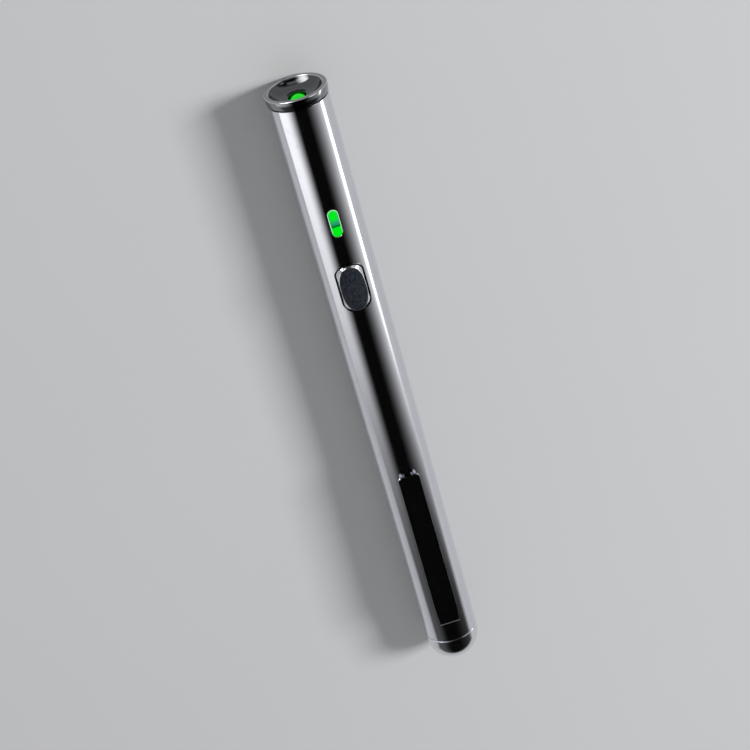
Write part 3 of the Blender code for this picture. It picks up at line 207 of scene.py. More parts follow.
class Studio(bpy.types.PropertyGroup):
    """The floor, the light and the reflections of the studio."""

    floor: tint("Floor", (0.54, 0.545, 0.555), "Colour of the floor")
    backdrop: tint("Backdrop", (0.52, 0.525, 0.53), "Colour of the backdrop at the horizon")
    sky: share("Soft light", 0.45, "Even light from all round")
    key: share("Key lamp", 30.0, "Power of the soft lamp at the right")
    right_band: share("Right band", 1.40, "Brightness of the long softbox at the right")
    left_band: share("Left band", 1.25, "Brightness of the long softbox at the left")
    core: share("Core", 2.2, "Extra brightness of the right softbox at its foot")
    front_box: share("Front box", 7.0, "Brightness of the small softbox in front")
    dim: share("Far end", 0.06, "How much of the softboxes is left at their far ends")


class Looks(bpy.types.PropertyGroup):
    """Everything that a user may change."""

    barrel: PointerProperty(type=BarrelSizes)
    bezel: PointerProperty(type=BezelSizes)
    lens: PointerProperty(type=LensSizes)
    window: PointerProperty(type=WindowSizes)
    button: PointerProperty(type=ButtonSizes)
    clip: PointerProperty(type=ClipSizes)
    tail: PointerProperty(type=TailSizes)
    tones: PointerProperty(type=Tones)
    studio: PointerProperty(type=Studio)


def math_node(operation):
    """A Python operator and its reflected form, which add this Math node."""

    def forward(value, other):
        return value.nodes.math(operation, value, other)

    def reflected(value, other):
        return value.nodes.math(operation, other, value)

    return forward, reflected


class Value:
    """One output of a node, which takes part in Python expressions."""

    __add__, __radd__ = math_node("ADD")
    __sub__, __rsub__ = math_node("SUBTRACT")
    __mul__, __rmul__ = math_node("MULTIPLY")
    __truediv__, __rtruediv__ = math_node("DIVIDE")
    __pow__, __rpow__ = math_node("POWER")

    def __init__(self, nodes, socket):
        self.nodes = nodes
        self.socket = socket

    def __abs__(self):
        return self.nodes.math("ABSOLUTE", self)

    def sine(self):
        return self.nodes.math("SINE", self)

    def ramp(self, low, high):
        """0 at low and 1 at high, with soft ends. It falls where low is the larger."""
        ends = {"Value": self, "From Min": low, "From Max": high}
        return self.nodes.node("MapRange", {"interpolation_type": "SMOOTHSTEP"}, ends)

    def hill(self, low, rise, fall, high):
        """1 from rise to fall, and 0 up to low and from high on."""
        return self.ramp(low, rise) * self.ramp(high, fall)

    def also(self, name):
        """Another output of the same node."""
        return Value(self.nodes, named(self.socket.node.outputs, name))


def named(sockets, name):
    """The socket with this index, identifier or name."""
    if isinstance(name, int):
        return sockets[name]
    return next(socket for socket in sockets if name in (socket.identifier, socket.name))


class Nodes:
    """A node tree, of one finish or of the world."""

    def __init__(self, owner):
        owner.use_nodes = True
        self.owner = owner
        self.tree = owner.node_tree
        self.tree.nodes.clear()

    def node(self, kind, settings=(), inputs=(), output=0):
        """Add a node, set its settings, then fill or link its sockets."""
        made = self.tree.nodes.new("ShaderNode" + kind)
        for name, value in dict(settings).items():
            setattr(made, name, value)
        for name, value in dict(inputs).items():
            socket = named(made.inputs, name)
            if isinstance(value, Value):
                self.tree.links.new(value.socket, socket)
            elif socket.type == "RGBA":
                socket.default_value = (*value[:3], 1)
            else:
                socket.default_value = value
        return Value(self, named(made.outputs, output)) if made.outputs else None

    def math(self, operation, *values):
        return self.node("Math", {"operation": operation}, enumerate(values))

    def vector(self, operation, first, second):
        return self.node("VectorMath", {"operation": operation}, {0: first, 1: second})

    def mix(self, first, second, factor):
        """One colour that turns into another as the factor goes from 0 to 1."""
        colors = {"A_Color": first, "B_Color": second, "Factor_Float": factor}
        return self.node("Mix", {"data_type": "RGBA"}, colors, "Result_Color")

    def axes(self, vector):
        """The three numbers of a vector."""
        first = self.node("SeparateXYZ", inputs={"Vector": vector})
        return first, first.also("Y"), first.also("Z")

    def distance(self, across, up):
        return self.math("SQRT", across * across + up * up)


class Finish(Nodes):
    """The nodes of one finish. Its place is the point on the piece, in millimetres of the frame."""

    def __init__(self, name):
        super().__init__(bpy.data.materials.new(name))
        self.place = self.vector("MULTIPLY", self.node("TexCoord", output="Object"), (1 / MM,) * 3)

    def axes_from(self, middle):
        """The three numbers of the place, measured from a middle point that is in metres."""
        return self.axes(self.vector("SUBTRACT", self.place, tuple(value / MM for value in middle)))

    def spread(self, scale):
        """Inputs of a texture. Its scale for each millimetre is one number, or one for each axis."""
        if isinstance(scale, tuple):
            return {"Vector": self.vector("MULTIPLY", self.place, scale), "Scale": 1.0}
        return {"Vector": self.place, "Scale": scale}

    def noise(self, scale, detail=2.0):
        return self.node("TexNoise", inputs={**self.spread(scale), "Detail": detail})

    def cells(self, scale):
        """How far each point is from the nearest of many scattered points."""
        return self.node("TexVoronoi", inputs=self.spread(scale), output="Distance")

    def bump(self, height, depth, strength=1.0):
        """A relief of this depth in metres."""
        return self.node("Bump", inputs={"Height": height, "Strength": strength, "Distance": depth})

    def surface(self, **inputs):
        """Fill these sockets of the main shader. In their names an underscore stands for a space."""
        filled = {name.replace("_", " "): value for name, value in inputs.items()}
        self.node("OutputMaterial", inputs={"Surface": self.node("BsdfPrincipled", inputs=filled)})
        return self.owner


def darker(color, factor):
    return tuple(value * factor for value in color)


def mixed(first, second, factor):
    return tuple(a + (b - a) * factor for a, b in zip(first, second))


def middle_of(node):
    low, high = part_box(node)
    return (low + high) / 2


def polished_metal(name, color, roughness, grain):
    """Polished metal: fine lines along the grain, a slow drift in tone and faint marks of handling."""
    nodes = Finish(name)
    lines = nodes.noise(grain, 3.0)
    drift = nodes.noise(0.09)
    marks = nodes.noise(0.45, 5.0).ramp(0.52, 0.78)
    nicks = nodes.noise((3.9, 0.91, 0.91), 4.0).ramp(0.70, 0.76)
    tone = nodes.mix(color, darker(color, 0.9), drift)
    return nodes.surface(
        Base_Color=nodes.mix(tone, darker(color, 0.82), marks * 0.35 + nicks * 0.3),
        Metallic=1.0,
        Roughness=roughness + lines * 0.03 + marks * 0.05 + nicks * 0.08,
        Normal=nodes.bump(lines, 0.004 * MM, 0.5),
    )


def ring_plate_with_painted_light(name, color, sizes):
    """Dark plate of the front ring: painted shade makes it darkest in its dish, and painted highlights make
    it bright where its land's two edges are cut, which are also bare cut metal.
    """
    nodes = Finish(name)
    x, y, z = nodes.axes_from((FRONT, 0, AXIS))
    around = nodes.distance(y, z)
    mouth, rim = sizes.mouth / MM, sizes.rim / MM
    # painted shade: the dish is darkened to stand in for the dark reflections in its hollow
    dish = around.ramp(mouth + 0.02, mouth - 0.06)
    # painted highlights: bright rings at the mouth's lip and at the rim's front edge, which are also bare
    # cut metal
    lip = abs(around - (mouth + 0.08)).ramp(0.10, 0.03)
    edge = around.ramp(rim - 0.20, rim - 0.12) * x.ramp(-0.28, -0.18)
    lines = nodes.noise((5.0, 0.3, 0.3), 3.0)
    marks = nodes.noise(0.45, 5.0).ramp(0.52, 0.78)
    tone = nodes.mix(color, darker(color, 0.8), marks)
    tone = nodes.mix(tone, darker(color, 0.38), dish)
    # pale colour of the cut edges, brightened to carry the painted highlight lines
    cut_edge_highlight = (0.78, 0.79, 0.82)
    return nodes.surface(
        Base_Color=nodes.mix(tone, cut_edge_highlight, nodes.math("MAXIMUM", lip * 0.8, edge * 0.6)),
        Metallic=1.0,
        Roughness=0.08 + lines * 0.03 + marks * 0.05,
        Normal=nodes.bump(lines, 0.004 * MM, 0.5),
    )


def slate_inlay(name, color, middle):
    """Dark inlay: a tight even grain, a paler bloom where a thumb rubs it, and specks of dust."""
    nodes = Finish(name)
    x, y, _ = nodes.axes_from(middle)
    crest, bloom, dust = (0.10, 0.12, 0.16), (0.03, 0.036, 0.046), (0.20, 0.22, 0.25)
    grain = nodes.noise(3.4).ramp(0.30, 0.70)
    cloud = nodes.noise(0.55, 4.0)
    rubbed = ((x / 5.0) ** 2 + (y / 2.4) ** 2).ramp(1.0, 0.1) * cloud
    specks = nodes.noise(5.2, 1.0).ramp(0.74, 0.80)
    tone = nodes.mix(darker(color, 0.35), mixed(color, crest, 0.2), grain)
    tone = nodes.mix(tone, bloom, rubbed * 0.3)
    return nodes.surface(
        Base_Color=nodes.mix(tone, dust, specks * 0.35),
        Roughness=0.36 + grain * 0.25 - rubbed * 0.06,
        Normal=nodes.bump(grain, 0.04 * MM, 0.8),
        Specular_IOR_Level=0.45,
    )


def lit_window(name, color, sizes):
    """Green window whose glow from the two lamps under it is painted in as emission: a pale edge, two bright
    pools and a darker band between them.
    """
    nodes = Finish(name)
    x, y, _ = nodes.axes_from((FRONT - sizes.place, 0, AXIS))
    half_length = (sizes.length / 2 - sizes.gap) / MM
    half_width = (sizes.width / 2 - sizes.gap) / MM
    past = nodes.math("MAXIMUM", abs(x) - (half_length - half_width), 0.0)
    inwards = half_width - nodes.distance(past, y)
    # painted light: a pale glowing edge round the window, which also lightens its base colour
    edge = (inwards - x.ramp(2.0, 2.8) * 0.1).ramp(0.16, 0.07) * x.ramp(-2.6, -2.2)
    # painted glow: two bright pools over the lamps, with a darker band between them
    front = x.ramp(-0.3, 1.5) * inwards.ramp(0.02, 0.5)
    rear = x.ramp(-0.85, -1.15) * inwards.ramp(-0.1, 0.15)
    cloud = nodes.noise(1.6, 3.0) * 0.2
    band = nodes.math("MAXIMUM", front, rear)
    deep_green, sea_green, pale_edge_glow = (0.0, 0.16, 0.015), (0.02, 0.28, 0.14), (0.26, 0.66, 0.33)
    dark = nodes.mix(deep_green, sea_green, x.ramp(-0.6, -0.2))
    glow = nodes.mix(dark, color, band - cloud * 0.3)
    return nodes.surface(
        Base_Color=nodes.mix((0.0, 0.05, 0.01), (0.05, 0.16, 0.07), edge),
        Roughness=0.12 + cloud * 0.2,
        Emission_Color=nodes.mix(glow, pale_edge_glow, edge * x.ramp(-4.2, -1.5)),
        Emission_Strength=0.95,
        Coat_Weight=0.15 + cloud,
        Coat_Roughness=0.05,
        Specular_IOR_Level=0.25,
        Normal=nodes.bump(cloud, 0.02 * MM, 0.4),
    )


def lit_lens(name, color, sizes):
    """Green domed lens whose light from behind is painted in as emission: brightest at its crown, and dark
    at its rim.
    """
    nodes = Finish(name)
    _, y, z = nodes.axes_from((FRONT - sizes.seat, 0, AXIS))
    around = nodes.distance(y, z)
    radius = sizes.dome / MM
    cloud = nodes.noise(1.1, 3.0)
    # painted glow, brightest at the crown; the base colour is paler where it glows and darker at the rim, as
    # painted shade
    lit = (around + cloud * 0.3).ramp(radius * 1.08, radius * 0.85)
    rings = ((around * 14.0).sine() * 0.5 + 0.5) * 0.10
    return nodes.surface(
        Base_Color=nodes.mix((0.0, 0.01, 0.002), (0.0, 0.08, 0.01), lit),
        Roughness=0.10 + cloud * 0.08,
        Emission_Color=nodes.mix((0.0, 0.012, 0.004), color, lit * (0.9 - rings)),
        Emission_Strength=0.85,
        Coat_Weight=0.1 + cloud * 0.2,
        Coat_Roughness=0.05,
        Specular_IOR_Level=0.2,
        Normal=nodes.bump(cloud, 0.02 * MM, 0.3),
    )


def turned_metal(name, color, roughness, step=0.14, tarnish=0.6):
    """Bare metal from the lathe: fine rings along the pointer, and a brown tarnish in patches."""
    nodes = Finish(name)
    x, _, _ = nodes.axes(nodes.place)
    rings = (x * (2 * math.pi / step)).sine() * 0.5 + 0.5
    waver = nodes.noise((4.0, 0.3, 0.3), 4.0)
    stain = nodes.noise(0.8, 5.0).ramp(0.45, 0.72) * tarnish
    tone = nodes.mix(color, darker(color, 0.78), waver)
    brown = mixed(darker(color, 0.4), (0.12, 0.08, 0.05), 0.4)
    return nodes.surface(
        Base_Color=nodes.mix(tone, brown, stain),
        Metallic=1.0,
        Roughness=roughness + waver * 0.12 + stain * 0.2,
        Normal=nodes.bump(rings * 0.7 + waver * 0.3, 0.006 * MM),
    )


def matt_rubber(name):
    """Black rubber of the seals: a moulded bloom, dust and a fine skin."""
    nodes = Finish(name)
    skin = nodes.noise(9.0, 4.0)
    bloom = nodes.noise(0.9, 3.0).ramp(0.4, 0.7)
    black, dusty = (0.014, 0.014, 0.015), (0.05, 0.05, 0.052)
    return nodes.surface(
        Base_Color=nodes.mix(black, dusty, bloom * 0.5 + skin * 0.3),
        Roughness=0.62 + skin * 0.2 + bloom * 0.08,
        Normal=nodes.bump(skin, 0.02 * MM, 0.6),
    )


def moulded_plastic(name, color, roughness, grain=6.0):
    """Moulded plastic: a spark-eroded skin, a drift in tone and duller patches where it flowed."""
    nodes = Finish(name)
    skin = nodes.cells(grain)
    flow = nodes.noise((0.21, 0.7, 0.7), 3.0)
    return nodes.surface(
        Base_Color=nodes.mix(darker(color, 0.86), mixed(color, (1, 1, 1), 0.04), flow),
        Roughness=roughness + skin * 0.18 + flow * 0.08,
        Normal=nodes.bump(skin, 0.015 * MM, 0.6),
    )


def board_laminate(name, mask):
    """Circuit board: green mask over glass cloth, with tracks that stand out and bare gold pads."""
    nodes = Finish(name)
    x, y, _ = nodes.axes(nodes.place)
    weave = (x * 18.0).sine() * (y * 18.0).sine() * 0.5 + 0.5
    bends = nodes.noise((0.25, 0.9, 0.0), 0.0)
    tracks = abs((y * 5.2 + bends * 9.0).sine()).ramp(0.62, 0.78)
    pads = nodes.cells((0.55, 0.55, 0.0)).ramp(0.24, 0.19)
    raised, gold = mixed(mask, (0.2, 0.6, 0.25), 0.2), (0.80, 0.62, 0.28)
    return nodes.surface(
        Base_Color=nodes.mix(nodes.mix(darker(mask, 0.7), raised, tracks), gold, pads),
        Metallic=pads,
        Roughness=0.34 + weave * 0.1 - pads * 0.1,
        Normal=nodes.bump(tracks * 0.6 + weave * 0.1 + pads * 0.3, 0.03 * MM),
    )


def fired_ceramic(node):
    """Dark fired body with tinned ends."""
    nodes = Finish(node + "_ceramic")
    low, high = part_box(node)
    half_body = (high.x - low.x) * 0.34 / MM
    x, _, _ = nodes.axes_from(middle_of(node))
    grain = nodes.noise(6.0, 4.0)
    ends = abs(x).ramp(half_body - 0.02, half_body + 0.02)
    dark, pale, tin = (0.03, 0.03, 0.035), (0.10, 0.10, 0.11), (0.72, 0.72, 0.70)
    return nodes.surface(
        Base_Color=nodes.mix(nodes.mix(dark, pale, grain), tin, ends),
        Metallic=ends,
        Roughness=0.6 - ends * 0.28 + grain * 0.15,
        Normal=nodes.bump(grain, 0.02 * MM, 0.7),
    )


def cell_sleeve(node, color):
    """A cell from the front: a bare steel nub and rim, a metal-coloured band, then a dark sleeve."""
    nodes = Finish(node + "_sleeve")
    low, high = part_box(node)
    x, y, z = nodes.axes_from((high.x, 0, AXIS))
    behind = 0 - x
    length = (high.x - low.x) / MM
    bare = nodes.math("MAXIMUM", behind.ramp(1.45, 1.35), behind.ramp(length - 0.5, length - 0.4))
    band = behind.ramp(11.0, 10.9) * (1 - bare)
    foil = nodes.noise((0.15, 2.0, 2.0), 3.0)
    creases = nodes.noise((0.6, 3.0, 3.0), 4.0)
    glint, copper, clean, dull = (0.3, 0.34, 0.4), (0.62, 0.42, 0.20), (0.62, 0.62, 0.60), (0.42, 0.41, 0.39)
    tone = nodes.mix(nodes.mix(color, mixed(color, glint, 0.3), foil), copper, band)
    steel = nodes.mix(clean, dull, nodes.distance(y, z).ramp(1.0, 5.0) * foil)
    return nodes.surface(
        Base_Color=nodes.mix(tone, steel, bare),
        Metallic=0.55 + band * 0.35 + bare * 0.4,
        Roughness=0.32 + foil * 0.1 - bare * 0.05,
        Normal=nodes.bump(creases, 0.02 * MM, 0.5),
    )


def drawn_can(node):
    """Small capacitor: a dark sleeve with a paler stripe, and bare aluminium ends."""
    nodes = Finish(node + "_can")
    x, y, _ = nodes.axes_from(middle_of(node))
    brushed = nodes.noise((6.0, 6.0, 0.6), 3.0)
    bare = abs(x).ramp(2.25, 2.35)
    stripe = y.ramp(0.55, 0.65) * (1 - bare)
    sleeve = nodes.mix((0.02, 0.022, 0.03), (0.05, 0.055, 0.07), brushed)
    sleeve = nodes.mix(sleeve, (0.45, 0.47, 0.5), stripe)
    aluminium = (0.78, 0.79, 0.80)
    return nodes.surface(
        Base_Color=nodes.mix(sleeve, aluminium, bare),
        Metallic=bare,
        Roughness=0.40 + brushed * 0.15 - bare * 0.1,
        Normal=nodes.bump(brushed, 0.01 * MM, 0.6),
    )


def clear_glass(node, color):
    """Clear optics with a coloured coating and a ground rim."""
    nodes = Finish(node + "_glass")
    low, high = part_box(node)
    radius = (high.y - low.y) / 2 / MM
    _, y, z = nodes.axes_from(middle_of(node))
    rim = nodes.distance(y, z).ramp(radius * 0.93, radius * 0.98)
    ground = nodes.noise(8.0, 3.0)
    film = nodes.noise(0.35)
    return nodes.surface(
        Base_Color=nodes.mix(nodes.mix(color, darker(color, 0.9), film), (0.9, 0.92, 0.92), rim),
        Roughness=0.02 + rim * (0.35 + ground * 0.2),
        Transmission_Weight=1.0,
        IOR=1.52,
        Normal=nodes.bump(rim * ground, 0.02 * MM, 0.6),
    )


def lamp_epoxy(node, color):
    """Clear green lamp: hazy, with a bright die at its middle."""
    nodes = Finish(node + "_epoxy")
    x, y, _ = nodes.axes_from(middle_of(node))
    core = nodes.distance(x, y).ramp(1.1, 0.15)
    haze = nodes.noise(2.0, 3.0)
    return nodes.surface(
        Base_Color=nodes.mix((0.02, 0.22, 0.05), (0.10, 0.50, 0.14), haze),
        Roughness=0.10 + haze * 0.1,
        Emission_Color=nodes.mix(darker(color, 0.25), mixed(color, (0.8, 1.0, 0.8), 0.4), core),
        Emission_Strength=1.0,
        Coat_Weight=0.5 + haze * 0.3,
        Normal=nodes.bump(haze, 0.02 * MM, 0.3),
    )


def around_axis(behind, radius, sides=SHELL_SIDES):
    """A ring of points square to the axis. The radius may be a function of the angle."""
    if radius == 0:
        return [(FRONT - behind, 0, AXIS)]
    points = []
    for i in range(sides):
        angle = 2 * math.pi * i / sides
        reach = radius(angle) if callable(radius) else radius
        points.append((FRONT - behind, reach * math.sin(angle), AXIS + reach * math.cos(angle)))
    return points


def turned(profile, sides=SHELL_SIDES):
    """Rings for each (behind, radius) point of a profile."""
    return [around_axis(behind, radius, sides) for behind, radius in profile]


def loft(rings, closed=False):
    """A mesh between rings. A ring of one point is a pole. Closed joins the last ring to the first."""
    mesh = bmesh.new()
    made = [[mesh.verts.new(point) for point in ring] for ring in rings]
    pairs = list(zip(made, made[1:]))
    if closed:
        pairs.append((made[-1], made[0]))
    for near, far in pairs:
        count = max(len(near), len(far))
        for i in range(count):
            here = (near[i % len(near)], far[i % len(far)])
            j = (i + 1) % count
            corners = (here[0], near[j % len(near)], far[j % len(far)], here[1])
            mesh.faces.new(list(dict.fromkeys(corners)))
    if not closed:
        for ring in (made[0], made[-1]):
            if len(ring) > 1:
                mesh.faces.new(ring)
    bmesh.ops.recalc_face_normals(mesh, faces=mesh.faces)
    return mesh


def shade(mesh):
    """Shade round faces smoothly, and keep the edges between the others crisp."""
    for face in mesh.faces:
        face.smooth = True
    for edge in mesh.edges:
        edge.smooth = len(edge.link_faces) == 2 and edge.calc_face_angle(0) < SHARP_ANGLE


def finished(mesh, data):
    """Fill an object's data with a mesh that is worked on no more."""
    mesh.to_mesh(data)
    mesh.free()
    return data


def add_object(name, data):
    made = bpy.data.objects.new(name, data)
    bpy.context.scene.collection.objects.link(made)
    return made


def apply_modifiers(piece):
    graph = bpy.context.evaluated_depsgraph_get()
    data = bpy.data.meshes.new_from_object(
        piece.evaluated_get(graph), preserve_all_data_layers=True, depsgraph=graph
    )
    piece.modifiers.clear()
    piece.data = data


def add_piece(name, mesh, finish, body, node):
    """Make a piece of the pointer from a mesh. It rides on its body and stands for one node."""
    shade(mesh)
    piece = add_object(name, finished(mesh, bpy.data.meshes.new(name)))
    piece.data.materials.append(finish)
    flat = piece.modifiers.new("flat faces stay flat", "WEIGHTED_NORMAL")
    flat.keep_sharp = True
    flat.weight = 100
    apply_modifiers(piece)
    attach(piece, body)
    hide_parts(node)
    return piece


def refinish(finish, *nodes):
    """Give nodes that keep the frame's own mesh a better finish."""
    for name in nodes:
        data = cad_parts[name].data
        data.materials.clear()
        data.materials.append(finish)


def arc(middle, radius, start, end, steps):
    """Points of an arc, in degrees, as (along, out) pairs."""
    angles = [math.radians(start + (end - start) * i / steps) for i in range(steps + 1)]
    return [(middle[0] + radius * math.cos(a), middle[1] + radius * math.sin(a)) for a in angles]


def rounded_rectangle(half_length, half_width, corner, steps=14, sides=10):
    """Points round a rectangle with round corners, counter-clockwise. Its straight sides are divided."""
    outline = []
    quarters = ((1, 1, 0), (-1, 1, 90), (-1, -1, 180), (1, -1, 270))
    for along, across, start in quarters:
        middle = (along * (half_length - corner), across * (half_width - corner))
        outline.append(arc(middle, corner, start, start + 90, steps))
    points = []
    for i, corner_points in enumerate(outline):
        points += corner_points
        first, last = corner_points[-1], outline[(i + 1) % 4][0]
        for j in range(1, sides):
            points.append(tuple(a + (b - a) * j / sides for a, b in zip(first, last)))
    return points


def towards(outline, half_length, half_width):
    """The points of a squarish oval that lie the same way from the middle as those of an outline."""
    power = 2.4
    points = []
    for along, across in outline:
        reach = (abs(along / half_length) ** power + abs(across / half_width) ** power) ** (-1 / power)
        points.append((along * reach, across * reach))
    return points


def scaled(outline, factor):
    return [(along * factor, across * factor) for along, across in outline]


def level(outline, behind, height):
    """The outline as a ring at one height."""
    return [(FRONT - behind + along, across, AXIS + height) for along, across in outline]


def wrapped(outline, behind, radius, lift=0):
    """The outline as a ring laid over a round surface of this radius, and lifted off it."""
    return [
        (FRONT - behind + along, across, AXIS + math.sqrt(radius**2 - across**2) + lift)
        for along, across in outline
    ]


def rounded_edge(inset, behind, radius, edge, steps):
    """Rings that round the top edge of an inlay. Its outline is a function of the distance inwards."""
    rings = []
    for i in range(steps + 1):
        turn = QUARTER * i / steps
        side = inset(edge * (1 - math.cos(turn)))
        rings.append(wrapped(side, behind, radius, -edge * (1 - math.sin(turn))))
    return rings


def opening(behind, half_length, half_width, corner, barrel, edge):
    """A cutter for an opening in the top of the tube, with a small chamfer round its edge."""
    overrun, out = 1.0 * MM, 2 * edge
    outline = rounded_rectangle(half_length, half_width, corner)
    wide = rounded_rectangle(half_length + out, half_width + out, corner + out)
    rings = [
        level(outline, behind, barrel.bore / 2),
        wrapped(outline, behind, barrel.radius, -edge),
        wrapped(wide, behind, barrel.radius, edge),
        level(wide, behind, barrel.radius + overrun),
    ]
    return bpy.data.objects.new("opening", finished(loft(rings), bpy.data.meshes.new("opening")))


def cut(piece, cutters):
    """Cut all openings from a piece at once, then remove the cutters."""
    group = bpy.data.collections.new("openings")
    bpy.context.scene.collection.children.link(group)
    for cutter in cutters:
        group.objects.link(cutter)
    modifier = piece.modifiers.new("openings", "BOOLEAN")
    modifier.operand_type = "COLLECTION"
    modifier.collection = group
    modifier.solver = "EXACT"
    apply_modifiers(piece)
    for cutter in cutters:
        bpy.data.objects.remove(cutter)
    bpy.data.collections.remove(group)
    mesh = bmesh.new()
    mesh.from_mesh(piece.data)
    shade(mesh)
    finished(mesh, piece.data)


def round_off(data):
    """Point the normals of the round outside straight out, so that openings don't bend its reflections."""
    nearly_straight = 0.999
    normals = [corner.vector.copy() for corner in data.corner_normals]
    for face in data.polygons:
        outwards = Vector((0, face.center.y, face.center.z - AXIS)).normalized()
        if face.normal.dot(outwards) < nearly_straight:
            continue
        for i in face.loop_indices:
            point = data.vertices[data.loops[i].vertex_index].co
            normals[i] = Vector((0, point.y, point.z - AXIS)).normalized()
    data.normals_split_custom_set(normals)


def lip(place, radius, edge, way=1):
    """Profile points of a soft chamfer. The way is 1 where a piece starts, and -1 where it ends."""
    points = ((0, edge), (edge * 0.3, edge * 0.3), (edge, 0))
    return [(place + way * along, radius - down) for along, down in points[::way]]


def thread(start, end, radius, depth, pitch):
    """Profile points of a right-hand thread whose ends fade out."""
    points, rings_per_turn, flank, root = [], 14, 2.2, 0.5
    count = math.ceil((end - start) / (pitch / rings_per_turn))
    for i in range(count + 1):
        behind = start + (end - start) * i / count
        fade = min(1, (behind - start) / (pitch / 2), (end - behind) / (pitch / 2))

        def reach(angle, behind=behind, fade=fade):
            turn = (behind / pitch - angle / (2 * math.pi)) % 1
            cut_share = min(1, max(0, flank * abs(2 * turn - 1) - root))
            return radius - depth * fade * cut_share

        points.append((behind, reach))
    return points


def seal_groove(middle, radius):
    """Profile points of the groove that a rubber seal lies in."""
    half, depth = 0.4 * MM, 0.7 * MM
    return [
        (middle - half, radius),
        (middle - half, radius - depth),
        (middle + half, radius - depth),
        (middle + half, radius),
    ]


def build_barrel(looks):
    sizes, window, button, clip = looks.barrel, looks.window, looks.button, looks.clip
    radius, edge = sizes.radius, sizes.edge
    profile = [
        (sizes.start, sizes.bore),
        *lip(sizes.start, radius, edge),
        *lip(sizes.end, radius, edge, -1),
        (sizes.end, sizes.bore + edge),
        (sizes.end - edge, sizes.bore),
    ]
    finish = polished_metal("polished_chrome", looks.tones.chrome, 0.085, (0.06, 4.0, 4.0))
    mesh = loft(turned(profile), closed=True)
    piece = add_piece("polished_tube", mesh, finish, "body", "barrel")
    play, leg_slot, leg_corner = 0.15 * MM, 1.95 * MM, 0.3 * MM
    half_window = (window.length / 2, window.width / 2)
    half_key = (button.length / 2 + button.gap, button.width / 2 + button.gap)
    half_leg = (clip.thickness / 2 + play, leg_slot)
    cut(piece, [
        opening(window.place, *half_window, window.width / 2 - SLIVER, sizes, window.edge),
        opening(button.place, *half_key, button.corner + button.gap, sizes, edge),
        opening(clip.root, *half_leg, leg_corner, sizes, clip.slot_edge),
    ])
    round_off(piece.data)


def dish_profile(sizes):
    """Profile points of the dish, from the beam hole out to its mouth, where it is steepest."""
    mouth, start, steps = sizes.mouth - 0.05 * MM, 0.16 * MM, 24
    points = []
    for i in range(steps, -1, -1):
        part = i / steps
        sunk = start + (sizes.depth - start) * (1 - (1 - part) ** sizes.bowl)
        points.append((sunk, mouth + (sizes.hole - mouth) * part))
    return points


def build_bezel(looks):
    sizes = looks.bezel
    spigot = looks.tail.spigot
    inner_lip, inner_round, outer_round = sizes.mouth + 0.14 * MM, 0.22 * MM, 0.3 * MM
    edge, shallow = 0.12 * MM, 0.04 * MM
    thread_start, thread_end, thread_depth, pitch = 6.0 * MM, 7.9 * MM, 0.2 * MM, 0.75 * MM
    end, end_edge, socket, lens_seat = 8.0 * MM, 0.1 * MM, 3.4 * MM, 2.9 * MM
    seal = 5.45 * MM
    profile = [
        *thread(thread_start, thread_end, spigot, thread_depth, pitch),
        (end, spigot - end_edge),
        (end, socket),
        (lens_seat, socket),
        (lens_seat, sizes.hole),
        *dish_profile(sizes),
        *arc((inner_round, inner_lip + inner_round * 0.5), inner_round, 240, 180, 5),
        *arc((outer_round, sizes.rim - outer_round), outer_round, 180, 90, 8),
        (sizes.length - edge, sizes.back),
        (sizes.length - shallow, sizes.back - shallow),
        (sizes.length, sizes.back - edge),
        (sizes.length, spigot),
        *seal_groove(seal, spigot),
    ]
    finish = ring_plate_with_painted_light("dark_plate_painted_light", looks.tones.bezel, sizes)
    mesh = loft(turned(profile), closed=True)
    add_piece("dished_bezel", mesh, finish, "body", "front_bezel")


def build_lens(looks):
    sizes = looks.lens
    ball = (sizes.dome**2 + sizes.height**2) / (2 * sizes.height)
    crown, back = sizes.seat - sizes.height, sizes.seat + sizes.thickness
    edge, steps = 0.1 * MM, 20
    radii = [sizes.dome * i / steps for i in range(steps + 1)]
    profile = [
        *[(crown + ball - math.sqrt(ball**2 - out**2), out) for out in radii],
        (sizes.seat, sizes.radius - edge),
        (sizes.seat + edge, sizes.radius),
        (back - edge, sizes.radius),
        (back, sizes.radius - edge),
        (back, 0),
    ]
    finish = lit_lens("lit_lens", looks.tones.glow, sizes)
    mesh = loft(turned(profile, LENS_SIDES))
    add_piece("domed_lens", mesh, finish, "body", "collimating_lens")


def build_window(looks):
    sizes = looks.window
    face = looks.barrel.radius - sizes.recess
    half_length, half_width = sizes.length / 2 - sizes.gap, sizes.width / 2 - sizes.gap
    flange_length, flange_width = 4.1 * MM, 1.9 * MM
    flange_bottom, flange_top = 4.17 * MM, 4.97 * MM
    edge = 0.1 * MM

    def round_ended(length, width):
        return rounded_rectangle(length, width, width - SLIVER, sides=6)

    def inset(distance):
        return round_ended(half_length - distance, half_width - distance)

    flange = round_ended(flange_length, flange_width)
    rings = [
        level(flange, sizes.place, flange_bottom),
        level(flange, sizes.place, flange_top),
        level(inset(0), sizes.place, flange_top),
        *rounded_edge(inset, sizes.place, face, edge, 5),
        *[wrapped(inset(half_width * part), sizes.place, face) for part in (0.35, 0.55, 0.8, 0.95)],
    ]
    finish = lit_window("lit_window", looks.tones.glow, sizes)
    add_piece("indicator_lens", loft(rings), finish, "body", "indicator_window")


